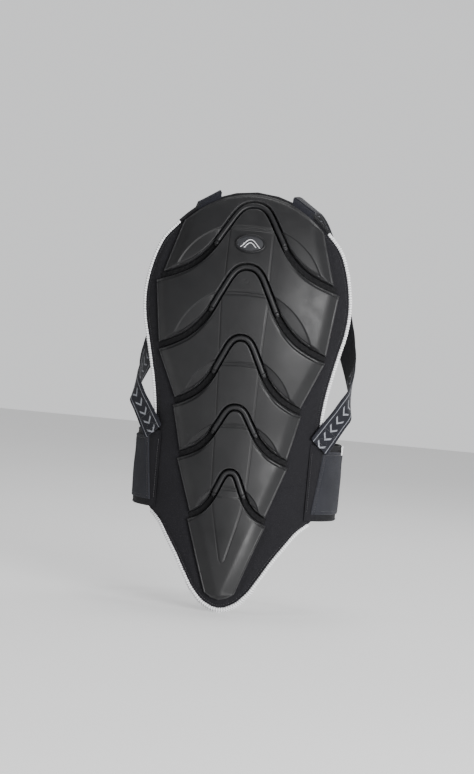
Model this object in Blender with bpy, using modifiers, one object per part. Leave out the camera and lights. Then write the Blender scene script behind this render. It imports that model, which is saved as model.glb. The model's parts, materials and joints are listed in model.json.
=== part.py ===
"""A motorcyclist's back protector: six hard plates on a soft-shell carrier, with a waist belt and two straps.

Metres, +Z up, as worn: the wearer faces +Y and the plates face -Y. The origin is on the lining, at the spine
and half the height. The back is one surface, depth(x, z), at the carrier's outer face. Every layer is a
grid laid on that surface at its own offset along the normal, and thickened inward.
"""

import math

import bmesh
import bpy
import numpy as np
from mathutils import Matrix, Vector

MM = 0.001

# The wearer's back: height, depth of the spine, half-width and half-depth of the torso at that height.
TORSO = (
    (0.330, 0.045, 0.185, 0.080),
    (0.240, 0.004, 0.195, 0.095),
    (0.150, -0.015, 0.200, 0.105),
    (0.060, -0.014, 0.180, 0.108),
    (0.000, -0.007, 0.160, 0.108),
    (-0.050, 0.000, 0.146, 0.106),
    (-0.105, 0.001, 0.146, 0.106),
    (-0.165, 0.000, 0.146, 0.106),
    (-0.230, -0.010, 0.160, 0.100),
    (-0.310, -0.012, 0.170, 0.095),
)
# Outline of the carrier at the middle of its piping: height and half-width.
OUTLINE = (
    (0.2500, 0.1070),
    (0.2280, 0.1260),
    (0.2020, 0.1375),
    (0.1780, 0.1435),
    (0.1470, 0.1475),
    (0.1100, 0.1450),
    (0.0790, 0.1380),
    (0.0500, 0.1315),
    (0.0200, 0.1255),
    (-0.0100, 0.1215),
    (-0.0460, 0.1195),
    (-0.1000, 0.1175),
    (-0.1640, 0.1180),
    (-0.1790, 0.1010),
    (-0.2000, 0.0855),
    (-0.2240, 0.0690),
    (-0.2500, 0.0535),
    (-0.2740, 0.0370),
    (-0.2890, 0.0200),
    (-0.2938, 0.0100),
)
COLLAR = (
    (0.1070, 0.2500),
    (0.0950, 0.2620),
    (0.0800, 0.2750),
    (0.0600, 0.2845),
    (0.0300, 0.2945),
    (0.0000, 0.2980),
)
TAIL_END = -0.2955
TAIL_CUT = -0.2820

# The five arched lines between the six segments: height at the spine, then width and height at the plate's
# side, then height where the line meets the carrier's edge.
ARCHES = (
    (0.2765, 0.1250, 0.1690, 0.1575),
    (0.1900, 0.1180, 0.0710, 0.0610),
    (0.0920, 0.0900, -0.0060, 0.0040),
    (-0.0060, 0.0770, -0.0820, -0.0460),
    (-0.1000, 0.0540, -0.1670, -0.1640),
)
# How an arch falls from the spine to the plate's side, as shares of its half-width and of its height.
ARCH_FALL = ((0, 0), (0.155, 0.075), (0.285, 0.310), (0.40, 0.535), (0.62, 0.80), (0.80, 0.915), (1, 1))
CHANNEL = 9.2 * MM
# Half-widths of each plate at its upper corners and its lower tips.
PLATE_ENDS = ((0.0990, 0.1190), (0.1310, 0.1164), (0.1195, 0.0870), (0.0925, 0.0740), (0.0800, 0.0510),
              (0.0575, 0.0215))
TOP_PLATE_EDGE = ((0.0990, 0.2495), (0.0760, 0.2700), (0.0490, 0.2855), (0.0200, 0.2935), (0, 0.2950))
TAIL_PLATE_EDGE = ((0.0215, -0.2717), (0.0110, -0.2785), (0, -0.2816))

# Offsets of the layers from the carrier's outer face, positive away from the wearer.
LINING = (-7.0 * MM, -5.0 * MM)
CARRIER = (-4.4 * MM, 0.0)
FOAM = (1.3 * MM, 8.3 * MM)
PLATE_WALL = 2.6 * MM
PLATE_FLANGE = 3.4 * MM
PLATE_CROWN = 12.2 * MM
RIB = (1.2 * MM, 8.0 * MM)
SEGMENT_GAP = 3.2 * MM
LINING_GAP = 7.0 * MM
SIDE_CHAMFER = 20 * MM
EDGE_CHAMFER = 8 * MM
WIDEST_SLOPE = 0.16
STEEPEST_EDGE = 0.30
FOAM_CLEARANCE = 9 * MM
RIB_REACH = 0.42
RIB_WIDTH = 4.4 * MM
RIB_GAP = 1.2 * MM
PIPING_RADIUS = 2.8 * MM
PIPING_INSET = 4.2 * MM
PIPING_STEP = 16 * MM

# The waist belt, as angles round the torso from the spine, and heights.
BELT_OUTER = (-0.152, -0.061)
BELT_INNER = (-0.162, -0.052)
SEAM_ANGLES = (47, 66)
WING_ANGLES = (67.6, 176.5)
HINGE_ANGLE = 66.8
BELT_HINGE_OFFSET = 6.3 * MM
INNER_LAYER = (0.8 * MM, 3.0 * MM)
OUTER_LAYER = (3.8 * MM, 6.0 * MM)
LANDING = ((-167, -178), (-0.140, -0.073), (6.4 * MM, 7.4 * MM))
CLOSURE = ((172, 206), (-0.142, -0.071), (8.0 * MM, 10.2 * MM))
SIZE_TAG = ((80, 84), (-0.066, -0.052), (6.5 * MM, 7.3 * MM))

# The right strap's middle line, from the collar over the shoulder, down the front and under the arm to the
# side; the last four points are given on the back's surface instead, as width, height and offset.
STRAP_FREE = (
    (0.068, 0.030, 0.2868),
    (0.0715, 0.058, 0.2888),
    (0.0780, 0.096, 0.2855),
    (0.0865, 0.136, 0.2685),
    (0.0975, 0.170, 0.2350),
    (0.110, 0.190, 0.190),
    (0.124, 0.192, 0.142),
    (0.138, 0.176, 0.096),
    (0.149, 0.145, 0.058),
    (0.154, 0.108, 0.026),
)
STRAP_LAID = (
    (0.1435, -0.002, 7.5 * MM),
    (0.1335, -0.020, 6.6 * MM),
    (0.1235, -0.0375, 6.8 * MM),
    (0.1140, -0.0540, 7.4 * MM),
)
STRAP_WIDTH = 38 * MM
STRAP_THICKNESS = 2.0 * MM
SHOULDER_SPAN = (0.0, 0.397)
ELASTIC_SPAN = (0.404, 0.686)
SIDE_SPAN = (0.693, 0.887)
TAB_SPAN = (0.894, 1.0)
TORSO_CENTRE = (0.55, 0.105, 0.230)

BADGE_HEIGHT = 0.2216
BADGE_HALF = (22 * MM, 14 * MM)
BADGE_THICKNESS = 2.4 * MM

# The six segments flex about lines this far inside the back's surface, from the collar's joint to the tail's.
PIVOT_DEPTHS = (12 * MM, 12 * MM, 14 * MM, 18 * MM, 18 * MM)
PEEL_GAP = 0.3 * MM


# ---------------------------------------------------------------- curves and the back's surface


def smooth(knots, values, at):
    """A smooth curve through the values at the rising knots."""
    knots, values, at = (np.asarray(a, float) for a in (knots, values, at))
    slopes = np.gradient(values, knots)
    k = np.clip(np.searchsorted(knots, at) - 1, 0, len(knots) - 2)
    span = knots[k + 1] - knots[k]
    t = np.clip((at - knots[k]) / span, 0, 1)
    hermite = (
        (1 + 2 * t) * (1 - t) ** 2 * values[k]
        + t * (1 - t) ** 2 * span * slopes[k]
        + t**2 * (3 - 2 * t) * values[k + 1]
        - t**2 * (1 - t) * span * slopes[k + 1]
    )
    return hermite


def torso(column, z):
    rows = TORSO[::-1]
    return smooth([r[0] for r in rows], [r[column] for r in rows], z)


def depth(x, z):
    """Depth of the carrier's outer face at a width and a height."""
    across = np.clip(np.abs(x) / torso(2, z), 0, 0.985)
    return torso(1, z) + torso(3, z) * (1 - np.sqrt(1 - across**2))


def outward(x, z):
    """The outward normal of the back's surface."""
    step = 0.5 * MM
    slope_x = (depth(x + step, z) - depth(x - step, z)) / (2 * step)
    slope_z = (depth(x, z + step) - depth(x, z - step)) / (2 * step)
    return Vector((slope_x, -1, slope_z)).normalized()


def on_back(x, z, offset=0.0):
    return Vector((x, float(depth(x, z)), z)) + offset * outward(x, z)


def resampled(line, count):
    """The line's points at equal distances along it."""
    line = np.asarray(line, float)
    run = np.concatenate([[0], np.cumsum(np.linalg.norm(np.diff(line, axis=0), axis=1))])
    at = np.linspace(0, run[-1], count)
    return np.stack([np.interp(at, run, line[:, axis]) for axis in range(line.shape[1])], axis=1)


def on_line(line, share):
    """The point at a share of the way along a line of equally spaced points."""
    at = share * (len(line) - 1)
    k = min(int(at), len(line) - 2)
    return line[k] + (at - k) * (line[k + 1] - line[k])


def shifted(line, distance):
    """The line moved sideways, to the left of its direction."""
    way = np.gradient(line, axis=0)
    way /= np.linalg.norm(way, axis=1)[:, None]
    return line + distance * np.stack([-way[:, 1], way[:, 0]], axis=1)


def mirrored(half):
    """A whole line from left to right, from its right half, which runs from the side to the spine."""
    half = np.asarray(half, float)
    return np.concatenate([half * [-1, 1], half[-2::-1]])


def arch_line(number, reach=1.0, ends=None):
    """An arch from left to right, out to a share of its half-width or to given widths beyond its side."""
    peak, side, low, _ = ARCHES[number]
    shares, falls = np.array(ARCH_FALL).T
    shares, falls = np.concatenate([-shares[:0:-1], shares]), np.concatenate([falls[:0:-1], falls])
    x = np.linspace(-reach, reach, 81) * side
    if ends is not None:
        x = np.linspace(-ends, ends, 81)
    fall = smooth(shares, falls, x / side)
    fall += np.maximum(np.abs(x) / side - 1, 0) * (1 - ARCH_FALL[-2][1]) / (1 - ARCH_FALL[-2][0])
    return np.stack([x, peak - (peak - low) * fall], axis=1)


def outline(inset=0.0):
    """The right half of the carrier's outline, from the collar down to the tail's middle."""
    rows = OUTLINE[::-1]
    z = np.linspace(OUTLINE[-1][0], OUTLINE[0][0], 161)
    half = np.stack([smooth([r[0] for r in rows], [r[1] for r in rows], z), z], axis=1)[::-1]
    line = resampled(np.concatenate([half, [(0.0, TAIL_END)]]), 241)
    line = shifted(line, -inset)
    line[-1] = 0.0, TAIL_END + inset
    return line


def edge_at(z, inset):
    """Half-width of the outline at a height."""
    line = outline(inset)[::-1]
    return np.interp(z, line[:, 1], line[:, 0])


def parting_line(number):
    """The whole line that divides two carrier segments, from edge to edge."""
    meets = ARCHES[number][3]
    edge = float(edge_at(meets, PIPING_INSET))
    return resampled(np.concatenate([[(-edge, meets)], arch_line(number), [(edge, meets)]]), 161)


def patch(bottom, top, left, right):
    """A point in width and height for each (u, v) in the unit square, between four edge lines."""
    bottom, top, left, right = (resampled(line, 121) for line in (bottom, top, left, right))

    def inside(u, v):
        edges = (1 - v) * on_line(bottom, u) + v * on_line(top, u)
        edges = edges + (1 - u) * on_line(left, v) + u * on_line(right, v)
        low = (1 - u) * bottom[0] + u * bottom[-1]
        high = (1 - u) * top[0] + u * top[-1]
        return edges - (1 - v) * low - v * high

    return inside


# ---------------------------------------------------------------- making objects


def clear_scene():
    for old in list(bpy.data.objects):
        bpy.data.objects.remove(old, do_unlink=True)


def principled(name, colour, roughness, metallic=0.0):
    material = bpy.data.materials.new(name)
    material.use_nodes = True
    shader = material.node_tree.nodes["Principled BSDF"]
    shader.inputs["Base Color"].default_value = (*colour, 1)
    shader.inputs["Roughness"].default_value = roughness
    shader.inputs["Metallic"].default_value = metallic
    return material


def add(name, mesh, material):
    obj = bpy.data.objects.new(name, mesh)
    bpy.data.collections["back_protector"].objects.link(obj)
    mesh.materials.append(material)
    return obj


def shell(name, columns, rows, place, thickness, material):
    """A grid laid by place(u, v), which gives its outer face, thickened inward."""
    grid = bmesh.new()
    bmesh.ops.create_grid(grid, x_segments=columns, y_segments=rows, size=0.5)
    for vert in grid.verts:
        vert.co = place(vert.co.x + 0.5, vert.co.y + 0.5)
    mesh = bpy.data.meshes.new(name)
    grid.to_mesh(mesh)
    grid.free()
    mesh.shade_smooth()
    obj = add(name, mesh, material)
    solidify = obj.modifiers.new("thickness", "SOLIDIFY")
    solidify.thickness = thickness
    solidify.offset = -1
    solidify.use_even_offset = True
    return obj


def layer(name, columns, rows, plan, offsets, material):
    """A layer of the back between two offsets, over a patch."""
    low, high = offsets
    return shell(name, columns, rows, lambda u, v: on_back(*plan(u, v), high), high - low, material)


def tube(name, points, radius, material):
    """A round cord with closed ends through the points."""
    curve = bpy.data.curves.new(name, "CURVE")
    curve.dimensions = "3D"
    spline = curve.splines.new("POLY")
    spline.points.add(len(points) - 1)
    for knot, point in zip(spline.points, points):
        knot.co = (*point, 1)
    curve.bevel_depth = radius
    curve.bevel_resolution = 1
    curve.use_fill_caps = True
    return add(name, curve, material)


# ---------------------------------------------------------------- the six segments


def side_line(start, end):
    """The carrier's right edge between two heights."""
    z = np.linspace(start, end, 41)
    return np.stack([edge_at(z, PIPING_INSET), z], axis=1)


def collar_line():
    """The carrier's upper edge, from left to right, inside its binding."""
    half = shifted(resampled(COLLAR, 61), PIPING_INSET)
    half[0] = edge_at(OUTLINE[0][0], PIPING_INSET), OUTLINE[0][0]
    half[-1] = 0.0, COLLAR[-1][1] - PIPING_INSET
    return mirrored(half)


def tail_line():
    """The rounded lower end of the carrier, from left to right."""
    edge = outline(PIPING_INSET)
    return mirrored(edge[edge[:, 1] < TAIL_CUT])


def carrier_plan(number, gap=SEGMENT_GAP):
    """The plan of one carrier segment: 0 is under the collar and 5 is the tail."""
    half_gap = gap / 2
    top = shifted(parting_line(number - 1), -half_gap) if number else collar_line()
    bottom = tail_line() if number == 5 else shifted(parting_line(number), half_gap)
    right = side_line(bottom[-1][1], top[-1][1])
    return patch(bottom, top, right * [-1, 1], right)


def plate_edges(number):
    """Lower and upper edges of a plate, from left to right."""
    upper_end, lower_end = PLATE_ENDS[number]
    if number == 0:
        upper = mirrored(TOP_PLATE_EDGE)
    else:
        upper = shifted(arch_line(number - 1, ends=upper_end), -CHANNEL / 2)
    if number == 5:
        lower = mirrored(TAIL_PLATE_EDGE)
    else:
        lower = shifted(arch_line(number, ends=lower_end), CHANNEL / 2)
    return resampled(lower, 121), resampled(upper, 121)


def plate_plan(number, further=0.0):
    """The plan of a plate, and the shares of it that its side and edge slopes take, plus a distance."""
    lower, upper = plate_edges(number)
    plan = patch(lower, upper, [lower[0], upper[0]], [lower[-1], upper[-1]])

    def side_share(v):
        width = np.linalg.norm(plan(1, v) - plan(0, v))
        return min(SIDE_CHAMFER / width, WIDEST_SLOPE) + further / width

    def edge_share(u):
        height = np.linalg.norm(plan(u, 1) - plan(u, 0))
        return min(EDGE_CHAMFER / height, STEEPEST_EDGE) + min(further / height, 0.15)

    return plan, side_share, edge_share


def plate(number, material):
    """A hard plate: a flange all round, a wide slope on each side and a crown over the foam."""
    plan, side_share, edge_share = plate_plan(number)
    columns, rows = 24, 8 if number == 5 else 4
    # the grid's columns crowd together where the arches bend
    knots_u = (0, 1 / columns, 4 / columns, 1 - 4 / columns, 1 - 1 / columns, 1)
    knots_v = (0, 1 / rows, 1 - 1 / rows, 1)

    def place(u, v):
        on_rim = min(u, v, 1 - u, 1 - v) < 1e-4
        side = side_share(v)
        across = float(np.interp(u, knots_u, (0, side, 0.2, 0.8, 1 - side, 1)))
        edge = edge_share(across)
        along = float(np.interp(v, knots_v, (0, edge, 1 - edge, 1)))
        return on_back(*plan(across, along), PLATE_FLANGE if on_rim else PLATE_CROWN)

    return shell(f"plate_{number + 1}", columns, rows, place, PLATE_WALL, material)


def foam_core(number, material):
    """The impact foam that fills a plate's crown."""
    plan, side_share, edge_share = plate_plan(number, further=FOAM_CLEARANCE)

    def core(u, v):
        side = side_share(v)
        across = side + (1 - 2 * side) * u
        edge = edge_share(across)
        return plan(across, edge + (1 - 2 * edge) * v)

    return layer(f"foam_core_{number + 1}", 12, 6 if number == 5 else 3, core, FOAM, material)


def rib(number, material):
    """The raised flexible band over the middle of an arch."""
    arch = resampled(arch_line(number, reach=RIB_REACH), 81)
    upper = CHANNEL / 2 - RIB_GAP
    bottom, top = shifted(arch, upper - RIB_WIDTH), shifted(arch, upper)
    plan = patch(bottom, top, [bottom[0], top[0]], [bottom[-1], top[-1]])
    return layer(f"arch_rib_{number + 1}", 16, 1, plan, RIB, material)


def piping(name, plan_points, material):
    points = [on_back(x, z, -1.5 * MM) for x, z in plan_points]
    return tube(name, points, PIPING_RADIUS, material)


def side_piping(number, side, material):
    """The cord along one side of a segment above the belt."""
    start = ARCHES[number][3] + SEGMENT_GAP / 2
    end = ARCHES[number - 1][3] - SEGMENT_GAP / 2 if number else OUTLINE[0][0]
    z = np.linspace(start, end, 3 + int((end - start) / PIPING_STEP))
    line = np.stack([side * edge_at(z, 0.0), z], axis=1)
    return piping(f"piping_{'left' if side < 0 else 'right'}_{number + 1}", line, material)


def tail_piping(material):
    """The cord round the tail, from belt to belt."""
    edge = outline()
    edge = edge[edge[:, 1] < ARCHES[4][3] - SEGMENT_GAP]
    return piping("piping_tail", resampled(mirrored(edge), 27), material)


def collar_binding(material):
    line = resampled(mirrored(COLLAR), 27)[1:-1]
    return piping("collar_binding", line, material)


# ---------------------------------------------------------------- belt


def round_torso(angle, z, offset):
    """A point on the belt's oval, at an angle in degrees from the spine towards the wearer's right."""
    turn = math.radians(angle)
    _, spine, wide, deep = TORSO[6]
    spine -= 1.0 * MM
    return Vector(((wide + offset) * math.sin(turn), spine + deep - (deep + offset) * math.cos(turn), z))


def belt_piece(name, angles, heights, offsets, columns, material, rows=2):
    """A curved panel of the belt between two angles. Negative angles are the left side."""
    start, end = sorted(angles)
    low, high = heights

    def place(u, v):
        return round_torso(start + u * (end - start), low + v * (high - low), offsets[1])

    return shell(name, columns, rows, place, offsets[1] - offsets[0], material)


def belt(elastic, knit, hook, label):
    for word, side in (("right", 1), ("left", -1)):
        seam = [side * a for a in SEAM_ANGLES]
        wing = [side * a for a in WING_ANGLES]
        belt_piece(f"belt_seam_{word}", seam, BELT_INNER, (INNER_LAYER[0], 3.6 * MM), 3, knit)
        belt_piece(f"belt_inner_{word}", wing, BELT_INNER, INNER_LAYER, 14, knit)
        belt_piece(f"belt_elastic_{word}", wing, BELT_OUTER, OUTER_LAYER, 14, elastic)
    belt_piece("closure_landing", *LANDING, 2, hook, rows=1)
    belt_piece("closure_tab", *CLOSURE, 5, hook)
    belt_piece("size_tag", *SIZE_TAG, 1, label, rows=1)


# ---------------------------------------------------------------- straps


def strap_frame(side):
    """The strap's middle line and its outward normals, evenly spaced, for one side."""
    laid = [on_back(x, z, offset) for x, z, offset in STRAP_LAID]
    knots = np.array([*STRAP_FREE, *laid])
    run = np.concatenate([[0], np.cumsum(np.linalg.norm(np.diff(knots, axis=0), axis=1))])
    fine = np.linspace(0, run[-1], 241)
    line = resampled(np.stack([smooth(run, knots[:, axis], fine) for axis in range(3)], axis=1), 241)
    share, middle, top = TORSO_CENTRE
    centre = np.stack([share * line[:, 0], np.full(len(line), middle), np.minimum(line[:, 2], top)], axis=1)
    way = np.gradient(line, axis=0)
    way /= np.linalg.norm(way, axis=1)[:, None]
    normal = line - centre
    normal -= way * (normal * way).sum(axis=1)[:, None]
    normal /= np.linalg.norm(normal, axis=1)[:, None]
    mirror = np.array([side, 1, 1])
    return line * mirror, normal * mirror, way * mirror


def strap_piece(name, side, span, columns, material, lift=0.0):
    """A stretch of a strap, between two shares of its length."""
    line, normal, way = strap_frame(side)

    def place(u, v):
        share = span[0] + u * (span[1] - span[0])
        n, t = on_line(normal, share), on_line(way, share)
        across = np.cross(n, t)
        return Vector(on_line(line, share) + (v - 0.5) * STRAP_WIDTH * across + (STRAP_THICKNESS + lift) * n)

    return shell(name, columns, 2, place, STRAP_THICKNESS, material)


def straps(webbing, elastic, hook):
    for word, side in (("right", 1), ("left", -1)):
        strap_piece(f"shoulder_strap_{word}", side, SHOULDER_SPAN, 14, webbing)
        strap_piece(f"strap_elastic_{word}", side, ELASTIC_SPAN, 10, elastic)
        strap_piece(f"side_strap_{word}", side, SIDE_SPAN, 7, webbing)
        strap_piece(f"strap_tab_{word}", side, TAB_SPAN, 2, hook)


# ---------------------------------------------------------------- badge


def badge(material):
    """An oval plaque on the second plate, with no mark on it."""
    mesh = bpy.data.meshes.new("badge")
    disc = bmesh.new()
    bmesh.ops.create_cone(disc, cap_ends=True, segments=28, radius1=1, radius2=0.94, depth=1)
    disc.to_mesh(mesh)
    disc.free()
    normal = outward(0, BADGE_HEIGHT)
    middle = on_back(0, BADGE_HEIGHT, PLATE_CROWN + 0.5 * MM + BADGE_THICKNESS / 2)
    up = Vector((0, 0, 1)) - normal * normal.z
    turn = Matrix((Vector((1, 0, 0)), up.normalized(), normal)).transposed().to_4x4()
    mesh.transform(Matrix.Diagonal((*BADGE_HALF, BADGE_THICKNESS, 1)))
    obj = add("badge", mesh, material)
    obj.matrix_world = Matrix.Translation(middle) @ turn
    return obj


# ---------------------------------------------------------------- joints


def attach(obj, pivot):
    """Parents an object to a pivot and leaves it where it is. Pivots are placed in the world."""
    obj.parent = pivot
    obj.matrix_parent_inverse = Matrix.Translation(-pivot.location)


def hang(joint, place, members, outer=None):
    """An empty on a joint's axis, which carries the pieces that move about it."""
    pivot = bpy.data.objects.new(joint, None)
    bpy.data.collections["back_protector"].objects.link(pivot)
    pivot.empty_display_size = 20 * MM
    pivot.location = place
    if outer is not None:
        attach(pivot, outer)
    for name in members:
        attach(bpy.data.objects[name], pivot)
    return pivot


def hang_segment(word, arch, segment, extras=(), outer=None):
    """The joint at an arch, halfway down it, with the pieces of the segment that it carries."""
    peak, _, low, _ = ARCHES[arch]
    height = (peak + low) / 2
    place = Vector((0, float(depth(0, height)) + PIVOT_DEPTHS[arch], height))
    members = [obj.name for obj in bpy.data.objects if obj.name.endswith(f"_{segment}")]
    return hang(f"spine_flex_{word}", place, [*members, *extras], outer)


def hang_belt():
    belt_middle = sum(BELT_OUTER) / 2
    extras = {"right": ["size_tag"], "left": ["closure_landing"]}
    pivots = {}
    for word, side in (("right", 1), ("left", -1)):
        place = round_torso(side * HINGE_ANGLE, belt_middle, BELT_HINGE_OFFSET)
        members = [f"belt_inner_{word}", f"belt_elastic_{word}", *extras[word]]
        pivots[word] = hang(f"belt_open_{word}", place, members)
    angles, heights, offsets = CLOSURE
    root = round_torso(angles[0], sum(heights) / 2, offsets[1] + PEEL_GAP)
    hang("closure_peel", root, ["closure_tab"], pivots["right"])


def hang_tabs():
    for word, side in (("right", 1), ("left", -1)):
        line, normal, _ = strap_frame(side)
        out = Vector(on_line(normal, TAB_SPAN[0])).normalized()
        root = Vector(on_line(line, TAB_SPAN[0])) + out * (STRAP_THICKNESS + PEEL_GAP)
        hang(f"tab_peel_{word}", root, [f"strap_tab_{word}"])


def hang_all():
    """Every moving piece on its joint. The lumbar segment, with the belt's roots, is the one that stays."""
    mid = hang_segment("mid", 3, 4)
    thoracic = hang_segment("thoracic", 2, 3, outer=mid)
    shoulder = hang_segment("shoulder", 1, 2, ["badge"], thoracic)
    collar_extras = ["collar_binding", "shoulder_strap_left", "shoulder_strap_right"]
    hang_segment("collar", 0, 1, collar_extras, shoulder)
    hang_segment("tail", 4, 6, ["piping_tail"])
    hang_belt()
    hang_tabs()


# ---------------------------------------------------------------- the object


def build():
    clear_scene()
    collection = bpy.data.collections.new("back_protector")
    bpy.context.scene.collection.children.link(collection)
    hard = principled("plate_plastic", (0.035, 0.035, 0.037), 0.45)
    rubber = principled("rib_rubber", (0.02, 0.02, 0.021), 0.5)
    softshell = principled("softshell", (0.022, 0.021, 0.025), 0.9)
    mesh_knit = principled("spacer_mesh", (0.03, 0.03, 0.032), 0.95)
    foam = principled("impact_foam", (0.09, 0.09, 0.10), 0.9)
    cord = principled("reflective_piping", (0.8, 0.8, 0.8), 0.5)
    binding = principled("binding", (0.012, 0.012, 0.014), 0.85)
    elastic = principled("elastic", (0.05, 0.052, 0.062), 0.85)
    webbing = principled("strap_webbing", (0.012, 0.013, 0.022), 0.75)
    hook = principled("hook_and_loop", (0.01, 0.01, 0.012), 0.95)
    label = principled("label", (0.75, 0.75, 0.75), 0.8)
    plaque = principled("badge_rubber", (0.02, 0.02, 0.022), 0.4)

    for number in range(6):
        rows = 6 if number in (0, 5) else 3
        layer(f"lining_{number + 1}", 16, rows, carrier_plan(number, LINING_GAP), LINING, mesh_knit)
        layer(f"carrier_{number + 1}", 16, rows, carrier_plan(number), CARRIER, softshell)
        foam_core(number, foam)
        plate(number, hard)
    for number in range(5):
        rib(number, rubber)
    for side in (-1, 1):
        for number in range(4):
            side_piping(number, side, cord)
    tail_piping(cord)
    collar_binding(binding)
    badge(plaque)
    belt(elastic, softshell, hook, label)
    straps(webbing, elastic, hook)
    hang_all()


build()
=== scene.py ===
"""The looks of the back protector: hard plates, soft-shell carrier, lining, piping, waist belt and straps.

Everything is in metres in the CAD's frame: +Z up, the wearer faces +Y, the plates face -Y, and the origin is on
the lining at half the height. The back is one surface, depth(x, z), and each piece of it is a grid of points at
its own offset along that surface's normal.
"""

import json
import math

import bpy
import numpy as np
from mathutils import Matrix, Vector


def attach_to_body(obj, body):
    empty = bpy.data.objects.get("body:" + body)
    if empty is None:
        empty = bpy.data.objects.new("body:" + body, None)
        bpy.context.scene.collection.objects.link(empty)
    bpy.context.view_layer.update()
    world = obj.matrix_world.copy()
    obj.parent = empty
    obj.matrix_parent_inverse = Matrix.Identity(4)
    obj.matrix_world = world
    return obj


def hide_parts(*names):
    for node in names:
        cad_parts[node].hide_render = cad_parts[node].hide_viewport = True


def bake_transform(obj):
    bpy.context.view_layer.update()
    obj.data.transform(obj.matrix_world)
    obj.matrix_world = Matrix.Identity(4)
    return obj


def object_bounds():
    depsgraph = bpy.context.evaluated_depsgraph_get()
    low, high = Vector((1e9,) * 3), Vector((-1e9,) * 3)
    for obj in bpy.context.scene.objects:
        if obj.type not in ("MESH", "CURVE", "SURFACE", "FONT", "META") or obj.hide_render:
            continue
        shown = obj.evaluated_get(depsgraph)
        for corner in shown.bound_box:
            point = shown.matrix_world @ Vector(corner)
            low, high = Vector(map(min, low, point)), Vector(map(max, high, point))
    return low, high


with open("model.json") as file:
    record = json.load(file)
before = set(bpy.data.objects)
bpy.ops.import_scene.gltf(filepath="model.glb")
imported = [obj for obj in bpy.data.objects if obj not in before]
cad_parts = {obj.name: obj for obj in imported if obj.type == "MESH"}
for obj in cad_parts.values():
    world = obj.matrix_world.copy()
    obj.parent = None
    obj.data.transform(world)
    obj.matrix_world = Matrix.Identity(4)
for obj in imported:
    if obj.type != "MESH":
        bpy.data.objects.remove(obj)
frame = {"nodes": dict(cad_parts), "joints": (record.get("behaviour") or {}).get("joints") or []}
cad_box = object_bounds()

MM = 0.001

# ---------------------------------------------------------------- dimensions of the CAD, repeated

# The wearer's back: height, depth of the spine, half-width and half-depth of the torso at that height.
TORSO = (
    (0.330, 0.045, 0.185, 0.080),
    (0.240, 0.004, 0.195, 0.095),
    (0.150, -0.015, 0.200, 0.105),
    (0.060, -0.014, 0.180, 0.108),
    (0.000, -0.007, 0.160, 0.108),
    (-0.050, 0.000, 0.146, 0.106),
    (-0.105, 0.001, 0.146, 0.106),
    (-0.165, 0.000, 0.146, 0.106),
    (-0.230, -0.010, 0.160, 0.100),
    (-0.310, -0.012, 0.170, 0.095),
)
# Outline of the carrier at the middle of its piping: height and half-width.
OUTLINE = (
    (0.2500, 0.1070), (0.2280, 0.1260), (0.2020, 0.1375), (0.1780, 0.1435), (0.1470, 0.1475),
    (0.1100, 0.1450), (0.0790, 0.1380), (0.0500, 0.1315), (0.0200, 0.1255), (-0.0100, 0.1215),
    (-0.0460, 0.1195), (-0.1000, 0.1175), (-0.1640, 0.1180), (-0.1790, 0.1010), (-0.2000, 0.0855),
    (-0.2240, 0.0690), (-0.2500, 0.0535), (-0.2740, 0.0370), (-0.2890, 0.0200), (-0.2938, 0.0100),
)
COLLAR = ((0.1070, 0.2500), (0.0950, 0.2620), (0.0800, 0.2750), (0.0600, 0.2845), (0.0300, 0.2945), (0, 0.2980))
TAIL_END = -0.2955
# The five arched lines between the segments: height at the spine, width and height at the plate's side, and
# height where the line meets the carrier's edge.
ARCHES = (
    (0.2765, 0.1250, 0.1690, 0.1575),
    (0.1900, 0.1180, 0.0710, 0.0610),
    (0.0920, 0.0900, -0.0060, 0.0040),
    (-0.0060, 0.0770, -0.0820, -0.0460),
    (-0.1000, 0.0540, -0.1670, -0.1640),
)
ARCH_FALL = ((0, 0), (0.155, 0.075), (0.285, 0.310), (0.40, 0.535), (0.62, 0.80), (0.80, 0.915), (1, 1))
CHANNEL = 9.2 * MM
PLATE_ENDS = ((0.0990, 0.1190), (0.1310, 0.1164), (0.1195, 0.0870), (0.0925, 0.0740), (0.0800, 0.0510),
              (0.0575, 0.0215))
TOP_PLATE_EDGE = ((0.0990, 0.2495), (0.0760, 0.2700), (0.0490, 0.2855), (0.0200, 0.2935), (0, 0.2950))
TAIL_PLATE_EDGE = ((0.0215, -0.2717), (0.0110, -0.2785), (0, -0.2816))
PLATE_FLANGE = 3.4 * MM
PLATE_CROWN = 12.2 * MM
PLATE_WALL = 2.6 * MM
CARRIER = (-4.4 * MM, -0.2 * MM)
LINING = (-7.0 * MM, -5.0 * MM)
PIPING_DEPTH = -1.5 * MM

# The belt goes round the torso at the waist, in angles from the spine.
BELT_OUTER = (-0.152, -0.061)
BELT_INNER = (-0.162, -0.052)

# The right strap's middle line; the last points are on the back's surface, as width, height and offset.
STRAP_FREE = (
    (0.068, 0.030, 0.2868), (0.0715, 0.058, 0.2888), (0.0780, 0.096, 0.2855), (0.0865, 0.136, 0.2685),
    (0.0975, 0.170, 0.2350), (0.110, 0.190, 0.190), (0.124, 0.192, 0.142), (0.138, 0.176, 0.096),
    (0.149, 0.145, 0.058), (0.154, 0.108, 0.026),
)
STRAP_LAID = ((0.1435, -0.002, 7.5 * MM), (0.1335, -0.020, 6.6 * MM), (0.1235, -0.0375, 6.8 * MM),
              (0.1140, -0.0540, 7.4 * MM))
STRAP_WIDTH = 38 * MM
STRAP_THICKNESS = 2.0 * MM
TORSO_CENTRE = (0.55, 0.105, 0.230)
BADGE_HEIGHT = 0.2216
BADGE_HALF = (22 * MM, 14 * MM)
BADGE_RIM = 3.2 * MM

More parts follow.
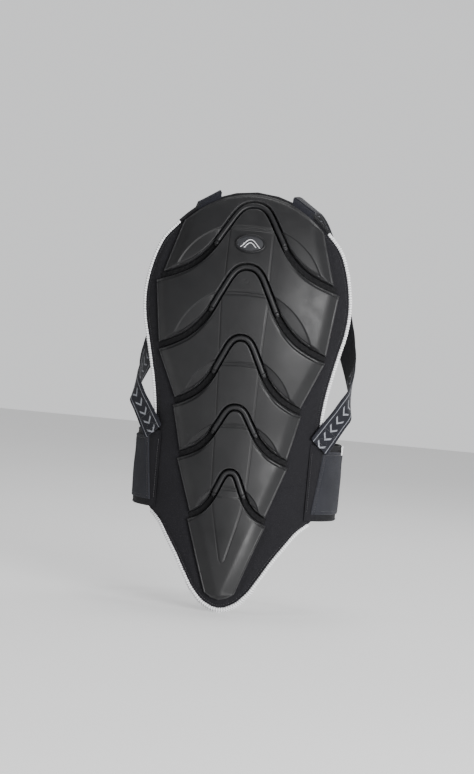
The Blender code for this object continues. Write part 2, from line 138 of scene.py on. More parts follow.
SIDES = (("right", 1), ("left", -1))
SEGMENTS = ("collar_segment", "shoulder_segment", "thoracic_segment", "mid_segment", "lumbar_segment",
            "tail_segment")
JOINTS = {joint["name"]: joint for joint in frame["joints"]}
SPINE_JOINTS = tuple(f"spine_flex_{word}" for word in ("collar", "shoulder", "thoracic", "mid", "tail"))
PIVOTS = [JOINTS[name]["pos_m"][2] for name in SPINE_JOINTS]


# ---------------------------------------------------------------- curves and the back's surface


def smooth(knots, values, at):
    """A smooth curve through the values at the rising knots."""
    knots, values, at = (np.asarray(a, float) for a in (knots, values, at))
    slopes = np.gradient(values, knots)
    k = np.clip(np.searchsorted(knots, at) - 1, 0, len(knots) - 2)
    span = knots[k + 1] - knots[k]
    t = np.clip((at - knots[k]) / span, 0, 1)
    return (
        (1 + 2 * t) * (1 - t) ** 2 * values[k]
        + t * (1 - t) ** 2 * span * slopes[k]
        + t**2 * (3 - 2 * t) * values[k + 1]
        - t**2 * (1 - t) * span * slopes[k + 1]
    )


def torso(column, z):
    """One of the torso's measures at a height, by its column in TORSO."""
    rows = TORSO[::-1]
    return smooth([r[0] for r in rows], [r[column] for r in rows], z)


def depth(x, z):
    """Depth of the carrier's outer face at a width and a height."""
    across = np.clip(np.abs(x) / torso(2, z), 0, 0.985)
    return torso(1, z) + torso(3, z) * (1 - np.sqrt(1 - across**2))


def outward(x, z):
    """The outward normal of the back's surface."""
    step = 0.5 * MM
    slope_x = (depth(x + step, z) - depth(x - step, z)) / (2 * step)
    slope_z = (depth(x, z + step) - depth(x, z - step)) / (2 * step)
    normal = np.stack([slope_x, -np.ones_like(slope_x), slope_z], axis=-1)
    return normal / np.linalg.norm(normal, axis=-1, keepdims=True)


def on_back(x, z, offset=0.0):
    """Points over the back at a width and a height, raised by an offset along its normal."""
    x, z = np.asarray(x, float), np.asarray(z, float)
    return np.stack([x, depth(x, z), z], axis=-1) + np.asarray(offset)[..., None] * outward(x, z)


def laid(flat, offset=0.0):
    """Plan points (width, height) laid on the back."""
    return on_back(flat[..., 0], flat[..., 1], offset)


def lengths_along(line):
    """The distance along a line at each of its points."""
    return np.concatenate([[0], np.cumsum(np.linalg.norm(np.diff(line, axis=0), axis=1))])


def along_line(line, run, at):
    """The line's points at distances along it, where run is each given point's own distance."""
    return np.stack([np.interp(at, run, line[:, axis]) for axis in range(line.shape[1])], axis=1)


def resampled(line, count):
    """The line's points at equal distances along it."""
    line = np.asarray(line, float)
    run = lengths_along(line)
    return along_line(line, run, np.linspace(0, run[-1], count))


def on_line(line, share):
    """The points at shares of the way along a line of equally spaced points."""
    at = np.clip(share, 0, 1) * (len(line) - 1)
    k = np.minimum(np.asarray(at).astype(int), len(line) - 2)
    return line[k] + (at - k)[..., None] * (line[k + 1] - line[k])


def directions(line):
    """The unit direction of a line at each of its points."""
    way = np.gradient(line, axis=0)
    return way / np.linalg.norm(way, axis=1)[:, None]


def leftward(line):
    """The unit direction to the left of a plan line at each of its points."""
    way = directions(line)
    return np.stack([-way[:, 1], way[:, 0]], axis=1)


def shifted(line, distance):
    """The line moved sideways, to the left of its direction."""
    return line + distance * leftward(line)


def band(line, across, half):
    """Plan points at shares across a band round a line. half is its half-width, one number or one a point."""
    half = np.broadcast_to(half, len(line))
    return line[None] + across[:, None, None] * half[None, :, None] * leftward(line)[None]


def mirrored(half):
    """A whole line from left to right, from its right half, which runs from the side to the spine."""
    half = np.asarray(half, float)
    return np.concatenate([half * [-1, 1], half[-2::-1]])


def arch_line(number, reach=1.0, ends=None):
    """An arch from left to right, out to a share of its half-width or to given half-widths beyond its side."""
    peak, side, low, _ = ARCHES[number]
    shares, falls = np.array(ARCH_FALL).T
    shares, falls = np.concatenate([-shares[:0:-1], shares]), np.concatenate([falls[:0:-1], falls])
    x = np.linspace(-reach, reach, 161) * side
    if ends is not None:
        x = np.linspace(-ends, ends, 161)
    fall = smooth(shares, falls, x / side)
    fall += np.maximum(np.abs(x) / side - 1, 0) * (1 - ARCH_FALL[-2][1]) / (1 - ARCH_FALL[-2][0])
    return np.stack([x, peak - (peak - low) * fall], axis=1)


def outline(inset=0.0):
    """The right half of the carrier's outline, from the collar down to the tail's middle."""
    rows = OUTLINE[::-1]
    z = np.linspace(OUTLINE[-1][0], OUTLINE[0][0], 161)
    half = np.stack([smooth([r[0] for r in rows], [r[1] for r in rows], z), z], axis=1)[::-1]
    line = shifted(resampled(np.concatenate([half, [(0.0, TAIL_END)]]), 481), -inset)
    line[-1] = 0.0, TAIL_END + inset
    return line


def edge_at(z, inset=0.0):
    """Half-width of the outline at a height."""
    line = outline(inset)[::-1]
    return np.interp(z, line[:, 1], line[:, 0])


def patch(bottom, top, left, right):
    """The plan points for shares (u, v) between four edge lines."""
    bottom, top, left, right = (resampled(line, 241) for line in (bottom, top, left, right))

    def inside(u, v):
        across, along = u[..., None], v[..., None]
        edges = (1 - along) * on_line(bottom, u) + along * on_line(top, u)
        edges = edges + (1 - across) * on_line(left, v) + across * on_line(right, v)
        low = (1 - across) * bottom[0] + across * bottom[-1]
        high = (1 - across) * top[0] + across * top[-1]
        return edges - (1 - along) * low - along * high

    return inside


def distance_to(flat, line):
    """The distance from each plan point to a line."""
    points = flat.reshape(-1, 2)
    best = np.full(len(points), np.inf)
    for a, b in zip(line[:-1], line[1:]):
        way = b - a
        t = np.clip((points - a) @ way / max(way @ way, 1e-18), 0, 1)
        best = np.minimum(best, np.hypot(*(points - a - t[:, None] * way).T))
    return best.reshape(flat.shape[:-1])


def within(flat, corners):
    """Which plan points are inside a closed outline."""
    x, z = flat[..., 0], flat[..., 1]
    inside = np.zeros(x.shape, bool)
    for (x1, z1), (x2, z2) in zip(corners, np.roll(corners, -1, axis=0)):
        if z1 != z2:
            inside ^= ((z1 > z) != (z2 > z)) & (x < (x2 - x1) * (z - z1) / (z2 - z1) + x1)
    return inside


def ramp(t, rounding=0.08):
    """Rises from 0 to 1 over the unit length, with rounded corners."""
    return 0.5 * (np.sqrt(t**2 + rounding**2) - np.sqrt((t - 1) ** 2 + rounding**2)) + 0.5


def ridge(distance, width):
    """A smooth bump: 1 at no distance, falling to nothing past its width."""
    return np.exp(-((distance / width) ** 2))


def ease(t):
    """Rises from 0 to 1 over the unit length, flat at both ends."""
    t = np.clip(t, 0, 1)
    return t * t * (3 - 2 * t)


# ---------------------------------------------------------------- making meshes


def quads_of(rows, columns, around=False):
    """The faces of a grid of points, facing the viewer when columns run right and rows run up."""
    index = np.arange(rows * columns).reshape(rows, columns)
    if around:
        index = np.concatenate([index, index[:, :1]], axis=1)
    a, b, c, d = index[:-1, :-1], index[:-1, 1:], index[1:, 1:], index[1:, :-1]
    return np.stack([a, b, c, d], axis=-1).reshape(-1, 4)


def make(name, points, quads, material, uv=None, wear_and_highlight=None, crease=38.0, closed=True):
    """An object from points and four-sided faces, smooth but for its creases.

    A closed one is turned right side out.
    """
    a, b, c, d = np.moveaxis(np.asarray(points, float)[quads], 1, 0)
    if closed and np.sum(a * (np.cross(b, c) + np.cross(c, d))) < 0:
        quads = quads[:, ::-1]
    mesh = bpy.data.meshes.new(name)
    mesh.vertices.add(len(points))
    mesh.vertices.foreach_set("co", np.asarray(points, np.float32).ravel())
    mesh.loops.add(4 * len(quads))
    mesh.loops.foreach_set("vertex_index", np.asarray(quads, np.int32).ravel())
    mesh.polygons.add(len(quads))
    mesh.polygons.foreach_set("loop_start", np.arange(0, 4 * len(quads), 4, dtype=np.int32))
    if uv is not None:
        layer = mesh.uv_layers.new(name="cloth")
        layer.data.foreach_set("uv", np.asarray(uv, np.float32)[quads.ravel()].ravel())
    # each point's share of the plates' lighter colour: partly rubbed wear, partly a painted highlight
    if wear_and_highlight is not None:
        mesh.attributes.new("wear_and_highlight", "FLOAT", "POINT").data.foreach_set("value", np.asarray(wear_and_highlight, np.float32))
    mesh.update(calc_edges=True)
    mesh.validate()
    mesh.shade_smooth()
    mesh.set_sharp_from_angle(angle=math.radians(crease))
    obj = bpy.data.objects.new(name, mesh)
    bpy.context.scene.collection.objects.link(obj)
    mesh.materials.append(material)
    return obj


def slab(name, front, back, material, uv=None, wear_and_highlight=None, crease=38.0):
    """A closed piece between a front and a back grid of points."""
    rows, columns = front.shape[:2]
    count = rows * columns
    faces = quads_of(rows, columns)
    index = np.arange(count).reshape(rows, columns)
    loop = np.concatenate([index[0], index[1:, -1], index[-1, -2::-1], index[-2:0:-1, 0]])
    onward = np.roll(loop, -1)
    rim = np.stack([onward, loop, loop + count, onward + count], axis=1)
    points = np.concatenate([front.reshape(-1, 3), back.reshape(-1, 3)])
    twice = None if uv is None else np.tile(uv.reshape(-1, 2), (2, 1))
    # only the front face gets the rubbed wear and painted highlight
    worn_and_highlit = None if wear_and_highlight is None else np.concatenate([wear_and_highlight.ravel(), 0 * wear_and_highlight.ravel()])
    return make(name, points, np.concatenate([faces, faces[:, ::-1] + count, rim]), material, twice, worn_and_highlit, crease)


def sided_slab(name, side, front, back, material, uv, crease=55):
    """A slab modelled on the right, or its mirror image on the left."""
    if side < 0:
        front, back, uv = (grid[:, ::-1] for grid in (front * [-1, 1, 1], back * [-1, 1, 1], uv))
    return slab(name, front, back, material, uv, crease=crease)


def attach(piece, slot, body=None, nodes=()):
    """Says what a piece rides on and which CAD nodes it replaces. Its slot, the finish it would take, is not used."""
    if body:
        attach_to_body(piece, body)
    if nodes:
        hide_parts(*nodes)


TUBE_CAP = 0.02  # the size of the flat at a tube's end, as a share of its radius


def tube(name, line, normals, radius, material, sides=12, flatten=1.0):
    """A closed tube along a line. radius is one number for each point, and flatten is its depth over its width."""
    line = np.asarray(line, float)
    way = directions(line)
    normals = normals - way * (normals * way).sum(axis=1)[:, None]
    normals /= np.linalg.norm(normals, axis=1)[:, None]
    across = np.cross(way, normals)
    turn = np.linspace(0, 2 * math.pi, sides, endpoint=False)
    radius = np.broadcast_to(radius, len(line))
    ring = np.cos(turn)[None, :, None] * across[:, None] + flatten * np.sin(turn)[None, :, None] * normals[:, None]
    points = line[:, None] + radius[:, None, None] * ring
    ends = [np.repeat(line[[end]][:, None], sides, axis=1) for end in (0, -1)]
    caps = [end + TUBE_CAP * (rim - end) for end, rim in zip(ends, (points[:1], points[-1:]))]
    points = np.concatenate([caps[0], points, caps[1]])
    run = lengths_along(line)
    run = np.concatenate([run[:1], run, run[-1:]])
    uv = np.stack(np.broadcast_arrays(run[:, None], (turn / (2 * math.pi))[None]), axis=-1)
    rows = len(points)
    faces = quads_of(rows, sides, around=True)
    fan = []
    for row in (0, rows - 1):
        ids = row * sides + np.arange(sides)
        for k in range(0, sides - 2, 2):
            quad = [ids[0], ids[k + 1], ids[k + 2], ids[(k + 3) % sides]]
            fan.append(quad[::-1] if row == 0 else quad)
    return make(name, points.reshape(-1, 3), np.concatenate([faces, fan]), material, uv.reshape(-1, 2), crease=60)


STITCH_RADIUS = 0.36 * MM
STITCH_SIDES = 6
# A stitch's five rings: each one's thickness and lift, as shares of the thread's radius.
STITCH_THICK = (0.35, 0.9, 1.0, 0.9, 0.35)
STITCH_LIFT = (-0.9, 0.1, 0.35, 0.1, -0.9)
STITCH_CAPS = ((3, 2, 1, 0), (5, 4, 3, 0), (24, 25, 26, 27), (24, 27, 28, 29))


def stitches(name, line, normals, material, pitch=3.4 * MM, length=2.3 * MM):
    """A row of thread stitches along a line, each a short thread that dips in at both ends."""
    run = lengths_along(line)
    middles = np.arange(pitch / 2, run[-1], pitch)
    count = len(middles)
    at, up = along_line(line, run, middles), along_line(normals, run, middles)
    up /= np.linalg.norm(up, axis=1)[:, None]
    way = along_line(line, run, middles + 0.4 * MM) - along_line(line, run, middles - 0.4 * MM)
    way /= np.linalg.norm(way, axis=1)[:, None]
    side = np.cross(way, up)
    rings = len(STITCH_THICK)
    along = np.linspace(-1, 1, rings)
    turn = np.linspace(0, 2 * math.pi, STITCH_SIDES, endpoint=False)
    thick = STITCH_RADIUS * np.array(STITCH_THICK)
    lift = STITCH_RADIUS * np.array(STITCH_LIFT)
    points = (
        at[:, None, None]
        + (along * length / 2)[None, :, None, None] * way[:, None, None]
        + (thick[:, None] * np.cos(turn))[None, :, :, None] * side[:, None, None]
        + (thick[:, None] * np.sin(turn) + lift[:, None])[None, :, :, None] * up[:, None, None]
    )
    one = np.concatenate([quads_of(rings, STITCH_SIDES, around=True), STITCH_CAPS])
    faces = (one[None] + rings * STITCH_SIDES * np.arange(count)[:, None, None]).reshape(-1, 4)
    return make(name, points.reshape(-1, 3), faces, material, crease=80)


def seam(name, flat, offset, material):
    """Stitches along a plan line on the back."""
    return stitches(name, laid(flat, offset), outward(flat[:, 0], flat[:, 1]), material)


# ---------------------------------------------------------------- materials

NOTCH = 3.6 * MM
DASH_PITCH = 15 * MM
PLAIN_ROOT = 33 * MM
HONEYCOMB = 3.4 * MM


class Look:
    """A material and its shader, built up from nodes."""

    def __init__(self, name, roughness=0.5, **sockets):
        self.material = bpy.data.materials.new(name)
        self.material.use_nodes = True
        self.tree = self.material.node_tree
        self.shader = self.tree.nodes["Principled BSDF"]
        self.shader.inputs["Roughness"].default_value = roughness
        for socket, value in sockets.items():
            self.shader.inputs[socket.replace("_", " ")].default_value = value

    def put(self, socket, value):
        if isinstance(value, bpy.types.NodeSocket):
            self.tree.links.new(value, socket)
        else:
            socket.default_value = value

    def node(self, kind, sockets=(), **settings):
        made = self.tree.nodes.new("ShaderNode" + kind)
        for key, value in settings.items():
            setattr(made, key, value)
        for key, value in dict(sockets).items():
            self.put(made.inputs[key], value)
        return made

    def place(self):
        """Object coordinates, in metres."""
        return self.node("TexCoord").outputs["Object"]

    def cloth(self):
        """The piece's own coordinates: metres along it and across it."""
        return self.node("UVMap", uv_map="cloth").outputs["UV"]

    def noise(self, scale, detail=2.0, where=None, roughness=0.5):
        where = where or self.place()
        found = self.node("TexNoise", {"Vector": where, "Scale": scale, "Detail": detail, "Roughness": roughness})
        return found.outputs["Fac"]

    def cells(self, scale, where=None, feature="F1"):
        found = self.node("TexVoronoi", {"Vector": where or self.place(), "Scale": scale}, feature=feature)
        return found.outputs["Distance"]

    def math(self, operation, a, b=0.0, c=0.0):
        made = self.node("Math", operation=operation)
        for socket, value in zip(made.inputs, (a, b, c)):
            self.put(socket, value)
        return made.outputs["Value"]

    def split(self, vector):
        return self.node("SeparateXYZ", {"Vector": vector}).outputs

    def wave(self, along, pitch):
        """A sine of that pitch, from -1 to 1."""
        return self.math("SINE", self.math("MULTIPLY", along, 2 * math.pi / pitch))

    def blended(self, share, dark, light, low=0.3, high=0.7):
        """A colour between two, as share goes from low to high."""
        ramp_node = self.node("ValToRGB", {"Fac": share})
        first, last = ramp_node.color_ramp.elements
        first.position, last.position = low, high
        first.color, last.color = (*dark, 1), (*light, 1)
        return ramp_node.outputs["Color"]

    def spread(self, share, low, high, start=0.3, end=0.7):
        found = self.node("MapRange", {"Value": share, "From Min": start, "From Max": end,
                                       "To Min": low, "To Max": high})
        return found.outputs["Result"]

    def mixed(self, share, first, second):
        made = self.node("Mix", data_type="RGBA")
        self.put(made.inputs["Factor"], share)
        colours = [socket for socket in made.inputs if socket.type == "RGBA"]
        self.put(colours[0], first)
        self.put(colours[1], second)
        return next(socket for socket in made.outputs if socket.type == "RGBA")

    def bump(self, height, distance, strength=1.0, under=None):
        sockets = {"Height": height, "Distance": distance, "Strength": strength}
        if under is not None:
            sockets["Normal"] = under
        return self.node("Bump", sockets).outputs["Normal"]

    def finish(self, colour, normal=None, roughness=None):
        self.put(self.shader.inputs["Base Color"], colour)
        if normal is not None:
            self.put(self.shader.inputs["Normal"], normal)
        if roughness is not None:
            self.put(self.shader.inputs["Roughness"], roughness)
        return self.material


def weave(look, where, pitch):
    """The height of a plain weave: threads over and under, with that pitch."""
    along, across, _ = look.split(where)
    over = look.math("MULTIPLY", look.wave(along, 2 * pitch), look.wave(across, 2 * pitch))
    return look.math("ADD", look.math("MULTIPLY", over, 0.5), 0.5)


def plain(name, roughness, pattern, relief, dark, light, tint=None, limits=(0.3, 0.7), **sockets):
    """A material with one pattern in relief: its depth in millimetres and strength.

    The same pattern turns dark into light between the limits, or a noise of its own does, given as tint.
    """
    look = Look(name, roughness, **sockets)
    height = pattern(look)
    colour = look.blended(look.noise(*tint) if tint else height, dark, light, *limits)
    return look.finish(colour, look.bump(height, relief[0] * MM, relief[1]))


def woven(pitch):
    """The pattern of a plain weave on the piece's own coordinates. The pitch is in millimetres."""
    return lambda look: weave(look, look.cloth(), pitch * MM)


def plate_plastic():
    """Moulded thermoplastic: a fine leather-like grain, soft mottling, and edges and crown shoulders lightened by
    rubbed wear and a painted highlight.
    """
    look = Look("plate_plastic", 0.46, Specular_IOR_Level=0.33)
    grain = look.cells(1150, feature="SMOOTH_F1")
    fine = look.noise(2600, 3)
    mottle = look.noise(26, 4)
    # lighter at the rim and along the crown's shoulder: partly rubbed wear, partly a painted highlight
    rubbed_and_highlit = look.node("Attribute", attribute_name="wear_and_highlight").outputs["Fac"]
    rubbed_and_highlit = look.math("MULTIPLY", rubbed_and_highlit, look.spread(look.noise(210, 5), 0.25, 1.0))
    base = look.blended(mottle, (0.0085, 0.0085, 0.0092), (0.0125, 0.0125, 0.0133))
    colour = look.mixed(rubbed_and_highlit, base, (0.055, 0.055, 0.057, 1))
    normal = look.bump(grain, 0.10 * MM, 0.75)
    normal = look.bump(fine, 0.05 * MM, 0.5, normal)
    rough = look.math("ADD", look.spread(look.noise(60, 5), 0.40, 0.52), look.math("MULTIPLY", rubbed_and_highlit, -0.10))
    return look.finish(colour, normal, rough)


def rib_rubber():
    look = Look("rib_rubber", 0.5, Specular_IOR_Level=0.34)
    fine = look.noise(1800, 3)
    colour = look.blended(look.noise(35, 3), (0.0075, 0.0075, 0.0085), (0.0110, 0.0110, 0.0120))
    return look.finish(colour, look.bump(fine, 0.06 * MM, 0.6), look.spread(look.noise(90, 4), 0.40, 0.54))


def vent_mesh():
    return plain("vent_mesh", 0.7, woven(1.1), (0.25, 0.8), (0.002, 0.002, 0.0025), (0.0075, 0.0075, 0.0085),
                 limits=(0.35, 0.75), Specular_IOR_Level=0.2)


def softshell():
    """A fine heathered stretch fabric."""
    look = Look("softshell", 0.88, Sheen_Weight=0.035, Sheen_Roughness=0.45, Specular_IOR_Level=0.2)
    x, y, z = look.split(look.place())
    threads = look.math("MULTIPLY", look.wave(look.math("ADD", x, y), 1.0 * MM), look.wave(z, 0.9 * MM))
    fleck = look.noise(950, 2)
    patchy = look.noise(18, 3)
    base = look.blended(patchy, (0.0066, 0.0064, 0.0078), (0.0098, 0.0095, 0.0114))
    colour = look.mixed(look.spread(fleck, 0.0, 0.55, 0.50, 0.75), base, (0.030, 0.029, 0.035, 1))
    normal = look.bump(threads, 0.10 * MM, 0.45)
    normal = look.bump(look.noise(420, 3), 0.18 * MM, 0.35, normal)
    return look.finish(colour, normal, look.spread(patchy, 0.82, 0.94))


def spacer_mesh():
    """The knitted lining: a honeycomb of small holes in a soft face."""
    look = Look("spacer_mesh", 0.92, Sheen_Weight=0.05, Specular_IOR_Level=0.2)
    x, z, _ = look.split(look.cloth())
    rows = [look.math("ADD", look.math("MULTIPLY", x, math.sin(turn)), look.math("MULTIPLY", z, math.cos(turn)))
            for turn in (0.0, math.radians(60), math.radians(-60))]
    first, second, third = (look.math("COSINE", look.math("MULTIPLY", row, 2 * math.pi / HONEYCOMB)) for row in rows)
    holes = look.math("ADD", look.math("ADD", first, second), third)
    solid = look.spread(holes, 1.0, 0.0, 0.3, 1.6)
    yarn = look.noise(1400, 3)
    base = look.blended(yarn, (0.022, 0.022, 0.025), (0.044, 0.044, 0.049))
    colour = look.mixed(solid, (0.003, 0.003, 0.0035, 1), base)
    normal = look.bump(solid, 0.7 * MM, 0.9)
    return look.finish(colour, look.bump(yarn, 0.12 * MM, 0.5, normal))


def impact_foam():
    return plain("impact_foam", 0.9, lambda look: look.cells(700), (0.3, 0.7), (0.035, 0.035, 0.040),
                 (0.12, 0.12, 0.13), limits=(0.1, 0.6))


def reflective_piping():
    """White braid over a cord, with a coating of glass beads."""
    look = Look("reflective_piping", 0.48, Coat_Weight=0.15, Coat_Roughness=0.3)
    along, around, _ = look.split(look.cloth())
    twisted = look.math("ADD", along, look.math("MULTIPLY", look.wave(around, 1.0), 0.16 * NOTCH))
    notch = look.math("ABSOLUTE", look.wave(twisted, 2 * NOTCH))
    strands = look.math("MULTIPLY", look.wave(along, 0.9 * MM), look.wave(around, 1 / 8))
    white = look.blended(look.noise(700, 3), (0.78, 0.78, 0.79), (0.93, 0.93, 0.94))
    colour = look.mixed(look.spread(notch, 1.0, 0.0, 0.13, 0.42), white, (0.10, 0.10, 0.11, 1))
    normal = look.bump(strands, 0.14 * MM, 0.6)
    return look.finish(colour, look.bump(look.cells(2600), 0.05 * MM, 0.4, normal))


def binding_tape():
    return plain("binding_tape", 0.8, lambda look: look.wave(look.split(look.cloth())["X"], 1.0 * MM), (0.16, 0.7),
                 (0.005, 0.005, 0.006), (0.011, 0.011, 0.0125), (260, 3), Sheen_Weight=0.04, Specular_IOR_Level=0.25)


def belt_elastic():
    """Wide grey-blue elastic with fine upright ribs."""
    look = Look("belt_elastic", 0.84, Sheen_Weight=0.06, Sheen_Roughness=0.4, Specular_IOR_Level=0.2)
    along, across, _ = look.split(look.cloth())
    ribs = look.wave(along, 1.15 * MM)
    picks = look.wave(across, 0.8 * MM)
    threads = look.math("MULTIPLY", ribs, look.math("ADD", look.math("MULTIPLY", picks, 0.3), 0.7))
    base = look.blended(look.noise(24, 4), (0.0150, 0.0155, 0.0195), (0.0225, 0.0230, 0.0285))
    colour = look.mixed(look.spread(look.noise(1100, 2), 0.0, 0.6, 0.5, 0.78), base, (0.058, 0.060, 0.070, 1))
    normal = look.bump(threads, 0.18 * MM, 0.7)
    return look.finish(colour, look.bump(look.noise(350, 3), 0.2 * MM, 0.3, normal))


def belt_knit():
    return plain("belt_knit", 0.9, woven(0.75), (0.16, 0.6), (0.0062, 0.0062, 0.0072), (0.0125, 0.0125, 0.0145),
                 (240, 4), Sheen_Weight=0.04, Specular_IOR_Level=0.2)


def strap_webbing():
    """Navy-black webbing with a plain woven row of light chevrons between two lines."""
    look = Look("strap_webbing", 0.72, Sheen_Weight=0.04, Specular_IOR_Level=0.25)
    along, across, _ = look.split(look.cloth())
    from_middle = look.math("ABSOLUTE", across)
    line = look.math("COMPARE", from_middle, STRAP_WIDTH * 0.36, 0.45 * MM)
    slant = look.math("ADD", along, look.math("MULTIPLY", from_middle, 0.9))
    repeat = look.math("FRACT", look.math("MULTIPLY", slant, 1 / DASH_PITCH))
    dash = look.math("MULTIPLY", look.math("LESS_THAN", repeat, 0.22),
                     look.math("LESS_THAN", from_middle, STRAP_WIDTH * 0.21))
    figure = look.math("MULTIPLY", look.math("MAXIMUM", line, dash), look.math("GREATER_THAN", along, PLAIN_ROOT))
    threads = weave(look, look.cloth(), 0.7 * MM)
    broken = look.math("MULTIPLY", figure, look.spread(threads, 0.45, 0.9, 0.2, 0.6))
    base = look.blended(look.noise(300, 3), (0.0040, 0.0044, 0.0080), (0.0085, 0.0090, 0.0145))
    colour = look.mixed(broken, base, (0.30, 0.31, 0.34, 1))
    return look.finish(colour, look.bump(threads, 0.2 * MM, 0.75))


def strap_stretch():
    def ribbed(look):
        along, across, _ = look.split(look.cloth())
        return look.math("ADD", look.wave(along, 1.6 * MM), look.math("MULTIPLY", look.wave(across, 2.4 * MM), 0.4))

    return plain("strap_stretch", 0.8, ribbed, (0.2, 0.7), (0.0050, 0.0052, 0.0078), (0.0110, 0.0115, 0.0150),
                 (260, 3), Sheen_Weight=0.04, Specular_IOR_Level=0.2)


def hook_and_loop():
    return plain("hook_and_loop", 0.95, lambda look: look.noise(1500, 4), (0.5, 0.8), (0.005, 0.005, 0.006),
                 (0.022, 0.022, 0.025), limits=(0.35, 0.7), Sheen_Weight=0.08, Sheen_Roughness=0.5,
                 Specular_IOR_Level=0.2)


def label_satin():
    return plain("label_satin", 0.55, woven(0.5), (0.06, 0.5), (0.66, 0.66, 0.67), (0.80, 0.80, 0.81), (500, 2),
                 Sheen_Weight=0.2)


def badge_rubber():
    look = Look("badge_rubber", 0.5, Specular_IOR_Level=0.25)
    colour = look.blended(look.noise(60, 3), (0.006, 0.006, 0.007), (0.011, 0.011, 0.012))
    normal = look.bump(look.noise(900, 3), 0.04 * MM, 0.5)
    return look.finish(colour, normal, look.spread(look.noise(80, 4), 0.42, 0.58))


def badge_cloth():
    return plain("badge_cloth", 0.6, lambda look: weave(look, look.place(), 0.9 * MM), (0.15, 0.7),
                 (0.006, 0.0065, 0.008), (0.026, 0.027, 0.032), limits=(0.3, 0.75))


def badge_silver():
    return plain("badge_silver", 0.4, lambda look: look.noise(1200, 2), (0.04, 0.4), (0.60, 0.60, 0.62),
                 (0.80, 0.80, 0.82), (300, 3), Metallic=0.35)


def thread():
    return plain("thread", 0.6, lambda look: look.noise(2400, 2), (0.1, 0.6), (0.011, 0.011, 0.013),
                 (0.030, 0.030, 0.034), Sheen_Weight=0.2)


# ---------------------------------------------------------------- plates, ribs and vents

EDGE_ZONE = 6.5 * MM
EDGE_STEP = 0.5 * MM
PLATE_QUADS = 40000
SIDE_SLOPE = 19 * MM
PANEL_LINES = {
    1: ((30.0, 239), (30.5, 150)),
    2: ((32.0, 139), (28.0, 55)),
    3: ((27.5, 43), (25.0, -40)),
    4: ((25.5, -50), (23.3, -130)),
}
# The tail plate's lines close in a narrow V with a rounded tip.
TAIL_LINES = ((21.5, -136), (18.6, -156), (13.5, -182), (7.6, -208), (3.6, -225), (1.5, -228.6), (0, -229.3))
DOUBLE_LINES = {1: 243.5, 2: 153.5, 3: 55.6, 4: -32.0, 5: -123.0}
SCOOP_START, SCOOP_END, SCOOP_BULGE = 0.275, 0.825, 0.128
SCOOP_WALL, SCOOP_FALL = 1.5 * MM, 2.2 * MM
PANEL_WALL = 0.85 * MM
DOUBLE_APART, DOUBLE_DEPTH, DOUBLE_WIDTH = 2.0 * MM, 1.1 * MM, 1.15 * MM
# The round mark of the mould's gate on the third plate: its height and radius.
GATE_MARK = (169.6 * MM, 3.2 * MM)
CROWN_SHARPNESS = 7.0
PLATE_UNDERSIDE = 0.45 * MM


def graded(length, step):
    """Shares of a length, a step apart and crowded near both ends."""
    ends = np.arange(0, EDGE_ZONE, EDGE_STEP)
    middle = np.linspace(EDGE_ZONE, length - EDGE_ZONE, max(3, int((length - 2 * EDGE_ZONE) / step)))
    return np.concatenate([ends, middle, length - ends[::-1]]) / length


def rounded_off(line, reach):
    """The line with its corners rounded, by averaging it over a distance either way."""
    line = resampled(line, 401)
    half = int(reach / np.linalg.norm(line[1] - line[0]))
    away = np.minimum(np.arange(len(line)), np.arange(len(line))[::-1])
    return np.array([line[k - min(half, a) : k + min(half, a) + 1].mean(axis=0) for k, a in enumerate(away)])


def plate_edges(number):
    """Lower and upper edges of a plate, from left to right."""
    upper_end, lower_end = PLATE_ENDS[number]
    if number == 0:
        upper = rounded_off(mirrored(TOP_PLATE_EDGE), 12 * MM)
    else:
        upper = shifted(arch_line(number - 1, ends=upper_end), -CHANNEL / 2)
    if number == 5:
        lower = mirrored(TAIL_PLATE_EDGE)
    else:
        lower = shifted(arch_line(number, ends=lower_end), CHANNEL / 2)
    return resampled(lower, 121), resampled(upper, 121)


def scoop(number, side, lower):
    """The arc that bounds the hollow above a plate's lower edge, and the hollow's whole outline."""
    arch = arch_line(number)
    half_width = ARCHES[number][1]
    ends = [np.array([share * half_width, np.interp(share * half_width, arch[:, 0], arch[:, 1])])
            for share in (SCOOP_START, SCOOP_END)]
    chord = ends[1] - ends[0]
    control = (ends[0] + ends[1]) / 2 + 2 * SCOOP_BULGE * np.array([-chord[1], chord[0]])
    t = np.linspace(0, 1, 25)[:, None]
    arc = (1 - t) ** 2 * ends[0] + 2 * t * (1 - t) * control + t**2 * ends[1]
    below = lower[(lower[:, 0] > ends[0][0]) & (lower[:, 0] < ends[1][0])][::-1] - [0, 4 * MM]
    return arc * [side, 1], np.concatenate([arc, below]) * [side, 1]


